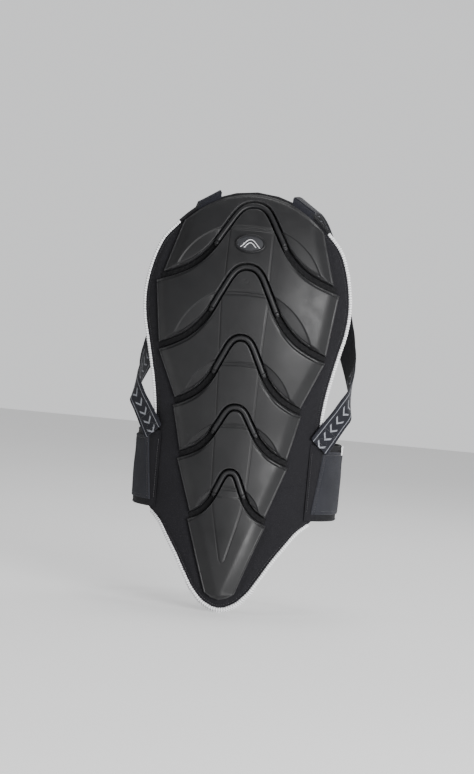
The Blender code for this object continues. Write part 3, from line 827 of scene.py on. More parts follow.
def plate_details(number, flat, crown, low, lower):
    """What is pressed into a plate's face: how far each point sinks below the crown."""
    sunk = np.zeros(crown.shape)
    x, z = flat[..., 0], flat[..., 1]
    level = np.full(x.shape, 1.0)
    if number in DOUBLE_LINES:
        level = DOUBLE_LINES[number] * MM - x**2 / 0.55
        for apart in (-DOUBLE_APART, DOUBLE_APART):
            sunk += DOUBLE_DEPTH * ridge(z - level - apart, DOUBLE_WIDTH)
    # the middle panel stands above the wings beside it, with a low wall along each line
    line = TAIL_LINES if number == 5 else PANEL_LINES.get(number)
    if line is not None:
        line = resampled(np.array(line) * MM, 30)
        inner = np.concatenate([line, line[::-1] * [-1, 1]])
        if number < 5:
            inner[-1, 1] = inner[0, 1] = inner[0, 1] + 40 * MM
            middle = len(line)
            inner[middle - 1, 1] = inner[middle, 1] = inner[middle, 1] - 40 * MM
        near = np.minimum(distance_to(flat, line), distance_to(flat, line * [-1, 1]))
        inside = near * np.where(within(flat, inner), 1, -1)
        wall = 1 - ease((inside + 0.9 * MM) / (1.8 * MM))
        below = ease((level - z) / (2.5 * MM))
        sunk += PANEL_WALL * wall * ridge(np.maximum(-inside, 0), 16 * MM) * below
        sunk += 0.4 * MM * ridge(near, 1.1 * MM) * below
    if number < 5:
        for side in (-1, 1):
            arc, whole = scoop(number, side, lower)
            near = distance_to(flat, arc)
            hollow = near * np.where(within(flat, whole), 1, -1)
            sunk += SCOOP_WALL * ease((hollow + 0.8 * MM) / (1.7 * MM))
            sunk += (hollow > 0) * SCOOP_FALL * near / (near + low + 1e-6)
    if number == 2:
        sunk += 0.25 * MM * ridge(np.hypot(x, z - GATE_MARK[0]) - GATE_MARK[1], 0.6 * MM)
    return sunk * ease((crown - 0.40) / 0.35)


def plate(number, material):
    """A hard plate: a lipped flange, wide side slopes, a crown with its pressed lines, and a hollow back."""
    lower, upper = plate_edges(number)
    left, right = np.array([lower[0], upper[0]]), np.array([lower[-1], upper[-1]])
    plan = patch(lower, upper, left, right)
    width = np.abs(np.concatenate([lower, upper])[:, 0]).max() * 2
    height = max(np.linalg.norm(plan(np.array(u), np.array(1.0)) - plan(np.array(u), np.array(0.0)))
                 for u in np.linspace(0.05, 0.95, 19))
    step = math.sqrt(width * height / PLATE_QUADS)
    u, v = np.meshgrid(graded(width, step), graded(height, step))
    flat = plan(u, v)
    side = np.minimum(distance_to(flat, left), distance_to(flat, right))
    low, high = distance_to(flat, lower), distance_to(flat, upper)
    # the edges are steep along the tongue and softer out on the wings
    wing = ease(np.abs(flat[..., 0]) / max(ARCHES[min(number, 4)][1], 0.07) * 1.9 - 0.55)
    rise_high = (1.2 + 4.0 * wing) * MM if number else 7 * MM * np.ones_like(wing)
    rise_low = (1.3 + 3.2 * wing) * MM if number < 5 else 6 * MM * np.ones_like(wing)
    slopes = np.stack([ramp(side / SIDE_SLOPE), ramp(high / rise_high, 0.2), ramp(low / rise_low, 0.2)])
    # the lowest slope wins, with a rounded corner where two meet
    crown = np.sum(np.clip(slopes, 1e-3, None) ** -CROWN_SHARPNESS, axis=0) ** (-1 / CROWN_SHARPNESS)
    crown = np.clip(crown * 1.02, 0, 1)
    face = PLATE_FLANGE + (PLATE_CROWN - PLATE_FLANGE) * crown
    body = face - PLATE_WALL
    face -= plate_details(number, flat, crown, low, lower)
    # a slight belly across the face, so that it catches the light as a moulded shell does
    face += 0.5 * MM * ease((crown - 0.6) / 0.4) * np.cos(math.pi * np.clip(flat[..., 0] / (width / 2), -1, 1))
    rim = np.minimum(np.minimum(low, high), side)
    lip = ridge(side - 1.3 * MM, 0.75 * MM) * 0.9 * MM
    upper_lip = ridge(high - 1.5 * MM, 0.8 * MM) * 1.5 * MM - ridge(high - 3.7 * MM, 0.9 * MM) * 0.9 * MM
    lip += wing * upper_lip * (number > 0)
    lip += wing * ridge(low - 1.4 * MM, 0.7 * MM) * 0.8 * MM * (number < 5)
    lip *= ease(side / (1.0 * MM)) * 0.6 + 0.4
    face += lip
    # the rim and the crown's shoulder get a lighter colour: partly rubbed wear, partly a painted highlight
    wear_and_highlight = ridge(rim - 1.2 * MM, 1.0 * MM) * 0.55
    wear_and_highlight += np.clip((crown - 0.86) * 6, 0, 1) * ridge(crown - 0.93, 0.05) * 0.25
    back = np.maximum(np.minimum(body, face - 1.0 * MM), PLATE_UNDERSIDE)
    back = PLATE_UNDERSIDE + (back - PLATE_UNDERSIDE) * ease(rim / (1.6 * MM))
    piece = slab(f"plate_shell_{number + 1}", laid(flat, face), laid(flat, back), material, flat, wear_and_highlight, crease=42)
    attach(piece, "plate_plastic", SEGMENTS[number], [f"plate_{number + 1}"])


def hinge_blend(piece):
    """Bakes the piece's placement into its mesh, for what lies in the channel between two neighbouring segments; it
    follows neither segment.
    """
    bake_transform(piece)


RIB_REACH = 0.405
RIB_HALF = 4.05 * MM
RIB_FOOT, RIB_TOP = 0.6 * MM, 11.4 * MM
VENT_HALF = 4.2 * MM
VENT_PITCH = 2.9 * MM


def rib(number, material):
    """The raised band over the middle of an arch. Its ends step down into the vents."""
    arch = resampled(arch_line(number, reach=RIB_REACH), 221)
    run = lengths_along(arch)
    from_end = np.minimum(run, run[-1] - run)
    across = np.linspace(-1, 1, 15)
    flat = band(arch, across, RIB_HALF * (0.82 + 0.18 * ease(from_end / (5 * MM))))
    step = 0.42 + 0.18 * ease((from_end - 1.0 * MM) / (0.8 * MM)) + 0.40 * ease((from_end - 5.5 * MM) / (1.6 * MM))
    rounded = (1 - np.abs(across) ** 3.6) ** (1 / 2.6)
    height = RIB_FOOT + (RIB_TOP - RIB_FOOT) * rounded[:, None] * step[None]
    piece = slab(f"rib_{number + 1}", laid(flat, height), laid(flat, 0.35 * MM), material, flat, crease=50)
    hinge_blend(piece)
    attach(piece, "rib_rubber", nodes=[f"arch_rib_{number + 1}"])


def vent(number, material):
    """The hatched mesh that shows in the channel on both sides of a rib."""
    arch = resampled(arch_line(number, reach=1.0), int(ARCHES[number][1] * 2.6 / (0.62 * MM)))
    run = lengths_along(arch)
    across = np.linspace(-1, 1, 17)
    flat = band(arch, across, VENT_HALF)
    offset = across * VENT_HALF
    slants = [np.abs(np.sin(math.pi * (run[None] + sign * offset[:, None]) / VENT_PITCH)) for sign in (1, -1)]
    cords = np.maximum(*slants) ** 2.5
    height = 0.35 * MM + 1.25 * MM * cords * ease((1 - np.abs(across)) * 5)[:, None]
    uv = np.stack(np.broadcast_arrays(run[None], offset[:, None]), axis=-1)
    piece = slab(f"vent_mesh_{number + 1}", laid(flat, height), laid(flat, 0.05 * MM), material, uv, crease=80)
    hinge_blend(piece)


# ---------------------------------------------------------------- carrier

COVER = 9 * MM
HEM = 0.9 * MM
STITCH_INSET = 5.2 * MM
BEND_HALF = 14 * MM
CORE = (-0.35 * MM, -2.6 * MM)
CORE_GAP = 2.6 * MM


def carrier_ring():
    """Stations down the right side: points under the plates' edges and on the carrier's outline, to pair up."""
    inner = [(0.0, TOP_PLATE_EDGE[-1][1] - COVER), tuple(value - 0.6 * COVER for value in TOP_PLATE_EDGE[0])]
    outer = [(0.0, COLLAR[-1][1] - HEM), (OUTLINE[0][1] - HEM, OUTLINE[0][0])]
    for number in range(5):
        tip = PLATE_ENDS[number][1] - COVER
        corner = PLATE_ENDS[number + 1][0] - COVER
        arch = ARCHES[number]
        inner.append(((tip + corner) / 2, arch[2] + 0.10 * (arch[1] - (tip + corner) / 2)))
        outer.append((float(edge_at(arch[3], HEM)), arch[3]))
    inner.append((0.0, TAIL_PLATE_EDGE[-1][1] + COVER))
    outer.append((0.0, TAIL_END + HEM))
    return np.array(inner), np.array(outer)


def between(line, start, end, count):
    """Points of a dense line from the one nearest start to the one nearest end."""
    first = np.argmin(np.hypot(*(line - start).T))
    last = np.argmin(np.hypot(*(line - end).T))
    part = line[first : last + 1] if first < last else line[last : first + 1][::-1]
    return resampled(np.concatenate([[start], part[1:-1], [end]]), count)


def ring_lines(step=2.0 * MM):
    """The inner and outer edge of the carrier's margin down the right side, and the station number of each point."""
    inner, outer = carrier_ring()
    collar = resampled(np.array(COLLAR)[::-1], 241) - [0, HEM]
    side = outline(HEM)
    tail_inner = np.array([inner[-2], (PLATE_ENDS[5][0] - COVER, ARCHES[4][2] - 3 * MM),
                           (TAIL_PLATE_EDGE[0][0] - 0.5 * COVER, TAIL_PLATE_EDGE[0][1] + 0.4 * COVER), inner[-1]])
    top_inner = np.array(TOP_PLATE_EDGE)[::-1] - [0, COVER]
    top_inner[-1] = inner[1]
    lines = []
    for station in range(len(inner) - 1):
        long = np.linalg.norm(outer[station + 1] - outer[station])
        count = max(9, int(long / step)) | 1
        edge = between(collar if station == 0 else side, outer[station], outer[station + 1], count)
        if station == 0:
            near = resampled(top_inner, count)
        elif station == len(inner) - 2:
            near = resampled(tail_inner, count)
        else:
            near = resampled(np.array([inner[station], inner[station + 1]]), count)
        at = np.linspace(station, station + 1, count)
        keep = slice(0, count if station == len(inner) - 2 else count - 1)
        lines.append((near[keep], edge[keep], at[keep]))
    return tuple(np.concatenate(part) for part in zip(*lines))


def margin_strip(start, end):
    """The carrier's margin between two stations, as rows across it: plan points and edge lengths."""
    near, edge, at = ring_lines()
    chosen = (at >= start - 1e-9) & (at <= end + 1e-9)
    return near[chosen], edge[chosen], lengths_along(edge)[chosen]


def margin_surface(near, edge, run, side):
    """Front and back of a stretch of margin. Rows run across it, from under the plates out to the piping."""
    across = np.concatenate([np.linspace(0, 0.8, 13)[:-1], np.linspace(0.8, 1, 9)])
    flat = near[:, None] + across[None, :, None] * (edge - near)[:, None]
    width = np.linalg.norm(edge - near, axis=1)[:, None]
    from_edge = (1 - across)[None] * width
    from_plate = across[None] * width - COVER
    puff = 1.0 * MM * ease(from_plate / (7 * MM)) * ease((from_edge - STITCH_INSET) / (7 * MM))
    valley = 1.1 * MM * ridge(from_edge - STITCH_INSET, 1.6 * MM)
    pucker = 0.32 * MM * np.sin(2 * math.pi * run[:, None] / (8.3 * MM) + 1.7 * np.sin(run[:, None] / (31 * MM)))
    pucker = pucker * ridge(from_edge - STITCH_INSET - 3 * MM, 4.5 * MM)
    drift = 0.35 * MM * np.sin(run[:, None] / (17 * MM) + side)
    drift = drift * ease(from_plate / (10 * MM)) * ease(from_edge / (9 * MM))
    fold = -0.9 * MM * ease(1 - from_edge / (2.2 * MM))
    front = CARRIER[1] + puff - valley + pucker + drift + fold
    back = CARRIER[0] + 1.1 * MM * ease(1 - from_edge / (2.0 * MM))
    back = np.minimum(back, front - 0.8 * MM)
    uv = np.stack(np.broadcast_arrays(run[:, None], across[None] * width), axis=-1)
    return flat, front, back, uv


def bend_at(piece, number, side):
    """Finds where a piece of the margin crosses the parting between two segments, at the carrier's edge, but only
    bakes the piece's placement into its mesh; it is not bent.
    """
    inner, outer = carrier_ring()
    station = number + 2
    middle, way = (inner[station] + outer[station]) / 2, outer[station] - inner[station]
    down = np.array([way[1], -way[0]]) / np.linalg.norm(way)
    if side == 0:
        down = np.array([0.0, -1.0])
    first, last = (middle + k * BEND_HALF * down for k in (-1, 1))
    sign = side or 1
    ends = [on_back(sign * flat[0], flat[1]) for flat in (first, last)]
    if side == 0:
        ends[1][1] = ends[0][1]
    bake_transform(piece)


def margin_rows(start, end, side):
    """Rows for one stretch. Side 0 is a stretch that runs round the collar or the tail, from left to right."""
    near, edge, run = margin_strip(start, end)
    if side:
        return near, edge, run
    if start <= 0:
        order = np.concatenate([np.arange(len(near))[::-1], np.arange(1, len(near))])
        sign = np.concatenate([-np.ones(len(near)), np.ones(len(near) - 1)])
    else:
        order = np.concatenate([np.arange(len(near)), np.arange(len(near) - 1)[::-1]])
        sign = np.concatenate([np.ones(len(near)), -np.ones(len(near) - 1)])
    middle = run[0] if start <= 0 else run[-1]
    run = middle + sign * (run[order] - middle) * (1 if start <= 0 else -1)
    flip = np.stack([sign, np.ones_like(sign)], axis=1)
    return near[order] * flip, edge[order] * flip, run


def margins(fabric, stitch):
    """The visible soft-shell margin, in stretches that each cross one parting."""
    spans = [(0, 2.5), (2.5, 3.5), (3.5, 4.5), (4.5, 5.5), (5.5, 7)]
    for number, (start, end) in enumerate(spans):
        round_end = number in (0, 4)
        for side in (0,) if round_end else (1, -1):
            near, edge, run = margin_rows(start, end, side)
            flat, front, back, uv = margin_surface(near, edge, run, side)
            # rows run down the right side and columns outward: turned so that columns run right and rows up
            grids = [laid(flat, front), laid(flat, back), uv]
            if number == 0:
                grids = [np.swapaxes(g, 0, 1) for g in grids]
            elif number == 4:
                grids = [np.swapaxes(g, 0, 1)[::-1, ::-1] for g in grids]
            else:
                grids = [g[::-1] for g in grids]
            front, back, uv = grids
            word = {0: "", 1: "_right", -1: "_left"}[side]
            piece = sided_slab(f"carrier_margin_{number + 1}{word}", side, front, back, fabric, uv, crease=50)
            bend_at(piece, number, side)
            width = np.linalg.norm(edge - near, axis=1)[:, None]
            line = edge + (near - edge) * STITCH_INSET / width
            row = seam(f"margin_stitches_{number + 1}{word}", line * [side or 1, 1], CARRIER[1] - 0.95 * MM, stitch)
            bend_at(row, number, side)


def cores(fabric):
    """The carrier under each plate, out of sight but for the channels."""
    for number in range(6):
        lower, upper = plate_edges(number)
        lower, upper = shifted(lower, -(CHANNEL - CORE_GAP) / 2), shifted(upper, (CHANNEL - CORE_GAP) / 2)
        if number == 0:
            upper = plate_edges(0)[1] - [0, 4 * MM]
        if number == 5:
            lower = plate_edges(5)[0] + [0, 4 * MM]
        lower, upper = lower * [0.965, 1], upper * [0.965, 1]
        plan = patch(lower, upper, np.array([lower[0], upper[0]]), np.array([lower[-1], upper[-1]]))
        u, v = np.meshgrid(np.linspace(0, 1, 91), np.linspace(0, 1, 25))
        flat = plan(u, v)
        front, back = (laid(flat, offset) for offset in CORE)
        piece = slab(f"carrier_core_{number + 1}", front, back, fabric, flat)
        attach(piece, "softshell", SEGMENTS[number], [f"carrier_{number + 1}"])


def lining(fabric):
    """The knitted lining: a quilted sheet in stretches that each lie over one spine joint."""
    tops = [COLLAR[-1][1] - 2.5 * MM] + [(a + b) / 2 for a, b in zip(PIVOTS[:-1], PIVOTS[1:])] + [TAIL_END + 3 * MM]
    edge = outline(3.0 * MM)
    collar = resampled(np.array(COLLAR), 121) - [0, 3.0 * MM]
    collar[0] = np.interp(OUTLINE[0][0] - 3 * MM, edge[::-1, 1], edge[::-1, 0]), OUTLINE[0][0] - 3 * MM
    half = np.concatenate([collar[::-1], edge[edge[:, 1] < OUTLINE[0][0] - 3.2 * MM]])
    for number in range(5):
        high, low = tops[number], tops[number + 1]
        z = np.linspace(low, high, int((high - low) / (2.2 * MM)))
        z = np.clip(z, TAIL_END + 3.2 * MM, COLLAR[-1][1] - 3.2 * MM)
        width = np.interp(z, half[::-1, 1], half[::-1, 0])
        share = np.linspace(-1, 1, 121)
        x = width[:, None] * share[None]
        flat = np.stack([x, np.broadcast_to(z[:, None], x.shape)], axis=-1)
        quilt = np.zeros(x.shape)
        for arch in range(5):
            level = np.interp(np.abs(x), *arch_line(arch, ends=0.16)[80:].T)
            quilt = np.maximum(quilt, ridge(flat[..., 1] - level, 3.2 * MM))
        quilt = np.maximum(quilt, ridge(np.abs(x), 3.0 * MM))
        hem = ease((1 - np.abs(share))[None] * width[:, None] / (5 * MM))
        inside = LINING[0] + 0.9 * MM * quilt + 0.8 * MM * (1 - hem)
        front = laid(flat, LINING[1] - 0.3 * MM)
        back = laid(flat, np.minimum(inside, LINING[1] - 0.7 * MM))
        piece = slab(f"lining_panel_{number + 1}", front, back, fabric, flat, crease=60)
        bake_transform(piece)
        attach(piece, "spacer_mesh", nodes=[f"lining_{number + 1}"] + (["lining_6"] if number == 4 else []))


# ---------------------------------------------------------------- piping

PIPING_RADIUS = 2.8 * MM


def braid(run):
    """The radius along a braided cord: a notch at every turn of the braid."""
    return PIPING_RADIUS * (1 - 0.20 * ridge((run / NOTCH + 0.5) % 1 - 0.5, 0.17))


def cord_piece(name, flat, offset, radius_of, material, step=0.6 * MM, sides=12):
    """A cord sewn along a plan line on the back. radius_of gives its radius from the distance along it."""
    flat = resampled(flat, int(lengths_along(np.asarray(flat))[-1] / step))
    line = laid(flat, offset)
    return tube(name, line, outward(flat[:, 0], flat[:, 1]), radius_of(lengths_along(line)), material, sides=sides)


def side_cords(material):
    """The white cord down each side, from the collar to the strap's tab."""
    joins = [(ARCHES[number][3] + ARCHES[number + 1][3]) / 2 for number in (0, 1)]
    ends = [OUTLINE[0][0], *joins, ARCHES[3][3] + 1.6 * MM]
    for word, side in SIDES:
        for number, (high, low) in enumerate(zip(ends[:-1], ends[1:])):
            z = np.linspace(high, low, 200)
            flat = np.stack([side * edge_at(z), z], axis=1)
            piece = cord_piece(f"white_piping_{word}_{number + 1}", flat, PIPING_DEPTH, braid, material)
            bend_at(piece, number, side)
            nodes = [f"piping_{word}_{number + 1}"] + ([f"piping_{word}_4"] if number == 2 else [])
            attach(piece, "reflective_piping", nodes=nodes)


def tail_cords(material):
    """The white cord round the tail, and the lining's thin white edge behind it."""
    edge = outline()
    edge = edge[edge[:, 1] < ARCHES[4][3] - 3.2 * MM]
    piece = cord_piece("white_piping_tail", mirrored(edge), PIPING_DEPTH, braid, material)
    attach(piece, "reflective_piping", "tail_segment", ["piping_tail"])
    low = shifted(edge, 3.6 * MM)
    low = low[low[:, 1] < -0.262]
    low[-1, 0] = 0
    piece = cord_piece("tail_edge", mirrored(low), -6.2 * MM, lambda run: 1.1 * MM, material, 0.9 * MM, 8)
    attach(piece, "reflective_piping", "tail_segment")


def collar_cord(material):
    """The folded tape that binds the collar's edge."""
    line = resampled(mirrored(COLLAR), 240)
    piece = cord_piece("collar_tape", line, PIPING_DEPTH, lambda run: 3.0 * MM, material, 0.8 * MM, 14)
    attach(piece, "binding", "collar_segment", ["collar_binding"])


# ---------------------------------------------------------------- belt

SEAM_TOP, SEAM_LOW = 58.0, 51.0
BELT_HINGE = 66.8
BAND_START, FRONT_END = 55.0, 179.0


def round_torso(angle, z, offset):
    """Points on the belt's oval, at angles in degrees from the spine towards the wearer's right."""
    _, spine, wide, deep = TORSO[6]
    spine = spine - 1.0 * MM
    turn, z, offset = np.broadcast_arrays(np.radians(angle), z, offset)
    return np.stack([(wide + offset) * np.sin(turn), spine + deep - (deep + offset) * np.cos(turn), z], axis=-1)


def oval_run(angles):
    """The distance round the oval at each angle."""
    fine = np.linspace(-220, 220, 4401)
    run = lengths_along(round_torso(fine, 0.0, 0.0))
    return np.interp(angles, fine, run)


def belt_grid(start, end, low, high, step=1.0 * MM):
    """Angles and heights of a belt panel's points. start and end may differ between its lower and upper edge."""
    starts, ends = (np.broadcast_to(np.asarray(a, float), (2,)) for a in (start, end))
    long = float(oval_run(ends.max()) - oval_run(starts.min()))
    u, v = np.meshgrid(np.linspace(0, 1, int(long / step)), np.linspace(0, 1, int((high - low) / (1.5 * step))))
    angle = (1 - u) * ((1 - v) * starts[0] + v * starts[1]) + u * ((1 - v) * ends[0] + v * ends[1])
    return angle, low + v * (high - low)


def belt_panel(name, side, start, end, heights, offsets, material, shape, step=1.0 * MM, tip=0.0, sewn=0.0):
    """A panel of the belt. shape gives how far its outer face rises, from the distances to its edges and round.

    The end nearest the spine is sewn down by the distance sewn.
    """
    low, high = heights
    angle, z = belt_grid(start, end, low, high, step)
    run = oval_run(angle)
    from_start, from_end = run - run[:, :1], run[:, -1:] - run
    if tip:
        # the corners at its far end are rounded
        inset = tip - np.sqrt(np.maximum(tip**2 - np.maximum(tip - from_end, 0) ** 2, 0))
        middle, half = (low + high) / 2, (high - low) / 2
        z = middle + (z - middle) * (half - inset) / half
    from_rim = np.minimum(z - low, high - z)
    rise = shape(run, z, from_start, from_end, from_rim)
    edge = np.minimum(np.minimum(from_start, from_end), from_rim)
    rounded = ease(edge / (1.3 * MM))
    thick = offsets[1] - offsets[0]
    down = sewn * (1 - ease(from_start / (9 * MM)))
    outer = offsets[0] + thick * (0.45 + 0.55 * rounded) + rise * rounded - down
    inner = offsets[0] + 0.15 * thick * (1 - rounded) - 0.8 * down
    front, back = round_torso(angle, z, outer), round_torso(angle, z, inner)
    return sided_slab(name, side, front, back, material, np.stack([run, z], axis=-1))


def belt_blend(piece, side):
    """Finds the ends round the joint where a belt panel's wing opens, but only bakes the panel's placement into its
    mesh; it is not bent.
    """
    ends = [round_torso(side * (BELT_HINGE + k * 5.0), -0.1065, 0.0) for k in (-1, 1)]
    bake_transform(piece)


def elastic_shape(run, z, from_start, from_end, from_rim):
    """Fine upright ribs, flat hems at both rims and a few slack waves."""
    ribs = 0.16 * MM * np.sin(2 * math.pi * run / (2.3 * MM))
    hem = ease((from_rim - 5.0 * MM) / (1.2 * MM))
    waves = 0.65 * MM * np.sin(run / (11 * MM) + 2.2 * np.sin(z / (26 * MM)))
    waves = waves * np.cos(z / (19 * MM) + run / (57 * MM))
    seam_line = 0.55 * MM * ridge(from_start - 4.5 * MM, 1.0 * MM) + 0.5 * MM * ridge(from_rim - 5.0 * MM, 0.8 * MM)
    return ribs * (0.35 + 0.65 * hem) + waves * ease(from_start / (14 * MM)) * ease(from_end / (14 * MM)) - seam_line


def knit_shape(run, z, from_start, from_end, from_rim):
    """Soft waves between rolled rims, each with a stitched valley."""
    roll = 0.5 * MM * ease(1 - from_rim / (4.5 * MM))
    waves = 0.3 * MM * np.sin(run / (8 * MM) + z / (21 * MM))
    return roll + waves * ease((from_rim - 3 * MM) / (6 * MM)) - 0.4 * MM * ridge(from_rim - 5.0 * MM, 0.9 * MM)


def root_shape(run, z, from_start, from_end, from_rim):
    """Lies flush with the carrier where it is sewn on, and thickens away from it."""
    valley = 0.35 * MM * ridge(from_rim - 5.0 * MM, 0.9 * MM)
    return -1.6 * MM * (1 - ease((from_start - 1 * MM) / (13 * MM))) - valley


def flat_shape(run, z, from_start, from_end, from_rim):
    """No relief of its own."""
    return np.zeros_like(run)


def belt_row(name, side, angles, z, offset, material):
    """Stitches on the belt along a row of angles and heights."""
    line = round_torso(side * angles, z, offset)
    inside = round_torso(side * angles, z, offset - 1 * MM)
    return stitches(name, line, line - inside, material)


def belt_side(word, side, elastic, knit, fabric, thread_look):
    """One side of the belt: its sewn root, the inner band, the outer stretch panel and their stitches."""
    outer_low, outer_high = BELT_OUTER
    root = belt_panel(f"belt_root_{word}", side, 47.0, 63.0, BELT_INNER, (0.9 * MM, 2.9 * MM), fabric, root_shape)
    attach(root, "softshell", "lumbar_segment", [f"belt_seam_{word}"])
    inner = belt_panel(f"belt_band_{word}", side, BAND_START, FRONT_END, BELT_INNER, (0.9 * MM, 3.0 * MM), knit,
                       knit_shape)
    belt_blend(inner, side)
    attach(inner, "softshell", nodes=[f"belt_inner_{word}"])
    outer = belt_panel(f"belt_stretch_{word}", side, (SEAM_LOW, SEAM_TOP), FRONT_END - 0.5, BELT_OUTER,
                       (3.5 * MM, 5.3 * MM), elastic, elastic_shape, step=0.75 * MM, sewn=0.65 * MM)
    belt_blend(outer, side)
    attach(outer, "elastic", nodes=[f"belt_elastic_{word}"])
    long = float(oval_run(FRONT_END) - oval_run(BAND_START))
    z = outer_low + 3 * MM + np.linspace(0, 1, 60) * (outer_high - outer_low - 6 * MM)
    start = SEAM_LOW + (z - outer_low) / (outer_high - outer_low) * (SEAM_TOP - SEAM_LOW)
    for label, angles, offset, slot in (("seam_a", start + 1.0, 4.5 * MM, "elastic"),
                                        ("seam_b", start + 2.3, 4.7 * MM, "elastic"),
                                        ("root_row", np.full_like(z, 48.3), 2.75 * MM, "softshell")):
        row = belt_row(f"belt_{label}_{word}", side, angles, z, offset, thread_look)
        attach(row, slot, "lumbar_segment")
    angles = np.linspace(59.5, FRONT_END - 2, 400)
    for label, height in (("low", outer_low + 5 * MM), ("top", outer_high - 5 * MM)):
        row = belt_row(f"belt_hem_{label}_{word}", side, angles, np.full_like(angles, height), 5.2 * MM, thread_look)
        belt_blend(row, side)
        attach(row, "elastic")


def closure_part(name, side, span, heights, offsets, material, shape, claims, step=1.0, tip=0):
    """A patch on the belt's front. Offsets, step and tip are in millimetres, and claims is what attach takes."""
    offsets = tuple(offset * MM for offset in offsets)
    attach(belt_panel(name, side, *span, heights, offsets, material, shape, step * MM, tip * MM), *claims)


def closure(hook, fabric, thread_look, label):
    """The flap on the right wing that lies over the left one, the pad that it grips, and a blank size tag."""
    flap = ("hook_and_loop", "closure_flap")
    closure_part("closure_flap_piece", 1, (172.0, 206.0), (-0.142, -0.071), (8.0, 10.2), fabric, knit_shape,
                 (*flap, ["closure_tab"]), tip=9)
    closure_part("closure_hook", 1, (183.5, 203.5), (-0.136, -0.077), (7.3, 7.9), hook, flat_shape, flap, tip=6)
    closure_part("closure_pad", -1, (163.0, 176.0), (-0.140, -0.073), (5.6, 6.6), hook, flat_shape,
                 ("hook_and_loop", "belt_wing_left", ["closure_landing"]), tip=4)
    angles = np.linspace(173.5, 199, 80)
    for word, height in (("low", -0.139), ("top", -0.074)):
        row = belt_row(f"flap_row_{word}", 1, angles, np.full_like(angles, height), 10.0 * MM, thread_look)
        attach(row, *flap)
    closure_part("size_tag_cloth", 1, (80.0, 84.0), (-0.066, -0.052), (6.5, 7.2), label, flat_shape,
                 ("label", "belt_wing_right", ["size_tag"]), step=0.6)


# ---------------------------------------------------------------- straps

SHOULDER_SPAN = (0.0, 0.397)
ELASTIC_SPAN = (0.395, 0.690)
SIDE_SPAN = (0.687, 0.892)
TAB_SPAN = (0.889, 1.0)
TAB_LIFT = 0.35 * MM


def strap_line():
    """The right strap's middle line, its outward normals and directions, evenly spaced."""
    tail = np.concatenate([on_back(x, z, offset)[None] for x, z, offset in STRAP_LAID])
    knots = np.concatenate([np.array(STRAP_FREE), tail])
    run = lengths_along(knots)
    fine = np.linspace(0, run[-1], 481)
    line = resampled(np.stack([smooth(run, knots[:, axis], fine) for axis in range(3)], axis=1), 481)
    share, middle, top = TORSO_CENTRE
    centre = np.stack([share * line[:, 0], np.full(len(line), middle), np.minimum(line[:, 2], top)], axis=1)
    way = directions(line)
    normal = line - centre
    normal -= way * (normal * way).sum(axis=1)[:, None]
    normal /= np.linalg.norm(normal, axis=1)[:, None]
    return line, normal, way


def strap_points(share, across, lift):
    """Points on the right strap: share of its length, distance from its middle line, and lift off the wearer."""
    line, normal, way = strap_line()
    n, t = on_line(normal, share), on_line(way, share)
    n = n / np.linalg.norm(n, axis=-1, keepdims=True)
    sideways = np.cross(n, t)
    sideways /= np.linalg.norm(sideways, axis=-1, keepdims=True)
    return on_line(line, share) + across[..., None] * sideways + lift[..., None] * n


def strap(name, side, span, material, shape, round_end=0.0, lift=0.0):
    """A stretch of webbing with thicker selvedges. shape gives how far its outer face rises."""
    full = lengths_along(strap_line()[0])[-1]
    long = (span[1] - span[0]) * full
    u, v = np.meshgrid(np.linspace(*span, int(long / (1.0 * MM))), np.linspace(-1, 1, 31))
    half = STRAP_WIDTH / 2
    from_end = (span[1] - u) * full
    if round_end:
        half = half - (round_end - np.sqrt(np.maximum(round_end**2 - np.maximum(round_end - from_end, 0) ** 2, 0)))
    across = v * half
    from_rim = (1 - np.abs(v)) * half
    rounded = ease(from_rim / (1.2 * MM))
    rise = shape((u - span[0]) * full, across, from_rim)
    top = lift + STRAP_THICKNESS * (0.62 + 0.38 * rounded) + rise
    low = lift + STRAP_THICKNESS * 0.12 * (1 - rounded)
    front, back = strap_points(u, across, top), strap_points(u, across, low)
    return sided_slab(name, side, front, back, material, np.stack([u * full, across], axis=-1))


def strap_root(name, side, material):
    """The strap's sewn end: it rises from between the carrier and the lining and folds back over the shoulder."""
    u, v = np.meshgrid(np.linspace(0, 1, 26), np.linspace(-1, 1, 31))
    half = STRAP_WIDTH / 2
    zero = np.zeros(u.shape)
    end = strap_points(zero, v * half, zero)
    ahead = strap_points(zero + 0.01, v * half, zero)
    way = (ahead - end) / np.linalg.norm(ahead - end, axis=-1, keepdims=True)
    low = on_back(end[..., 0] - 1 * MM, end[..., 2] - 21 * MM, -4.9 * MM)
    bend = end - 7 * MM * way
    share = u[..., None]
    line = (1 - share) ** 2 * low + 2 * share * (1 - share) * bend + share**2 * end
    along, across = np.gradient(line, axis=1), np.gradient(line, axis=0)
    out = np.cross(across, along)
    out /= np.linalg.norm(out, axis=-1, keepdims=True)
    rounded = ease((1 - np.abs(v)) * half / (1.2 * MM))[..., None]
    front = line + STRAP_THICKNESS * (0.62 + 0.38 * rounded) * out
    back = line + STRAP_THICKNESS * 0.12 * (1 - rounded) * out
    return sided_slab(name, side, front, back, material, np.stack([(u - 1) * 26 * MM, v * half], axis=-1))


def webbing_shape(run, across, from_rim):
    """A corded selvedge on both sides, fine ribs and a slight wave."""
    cord = 0.22 * MM * ridge(from_rim - 1.9 * MM, 0.9 * MM)
    return cord + 0.05 * MM * np.sin(2 * math.pi * across / (1.9 * MM)) + 0.25 * MM * np.sin(run / (14 * MM))


def stretch_shape(run, across, from_rim):
    """Ribs across, a thicker rim and a slight wave."""
    ribs = 0.14 * MM * np.sin(2 * math.pi * run / (2.4 * MM))
    return ribs + 0.25 * MM * ridge(from_rim - 2.2 * MM, 1.2 * MM) + 0.3 * MM * np.sin(run / (9 * MM))


def tab_shape(run, across, from_rim):
    """A thicker rim."""
    return 0.3 * MM * ridge(from_rim - 1.2 * MM, 1.0 * MM)


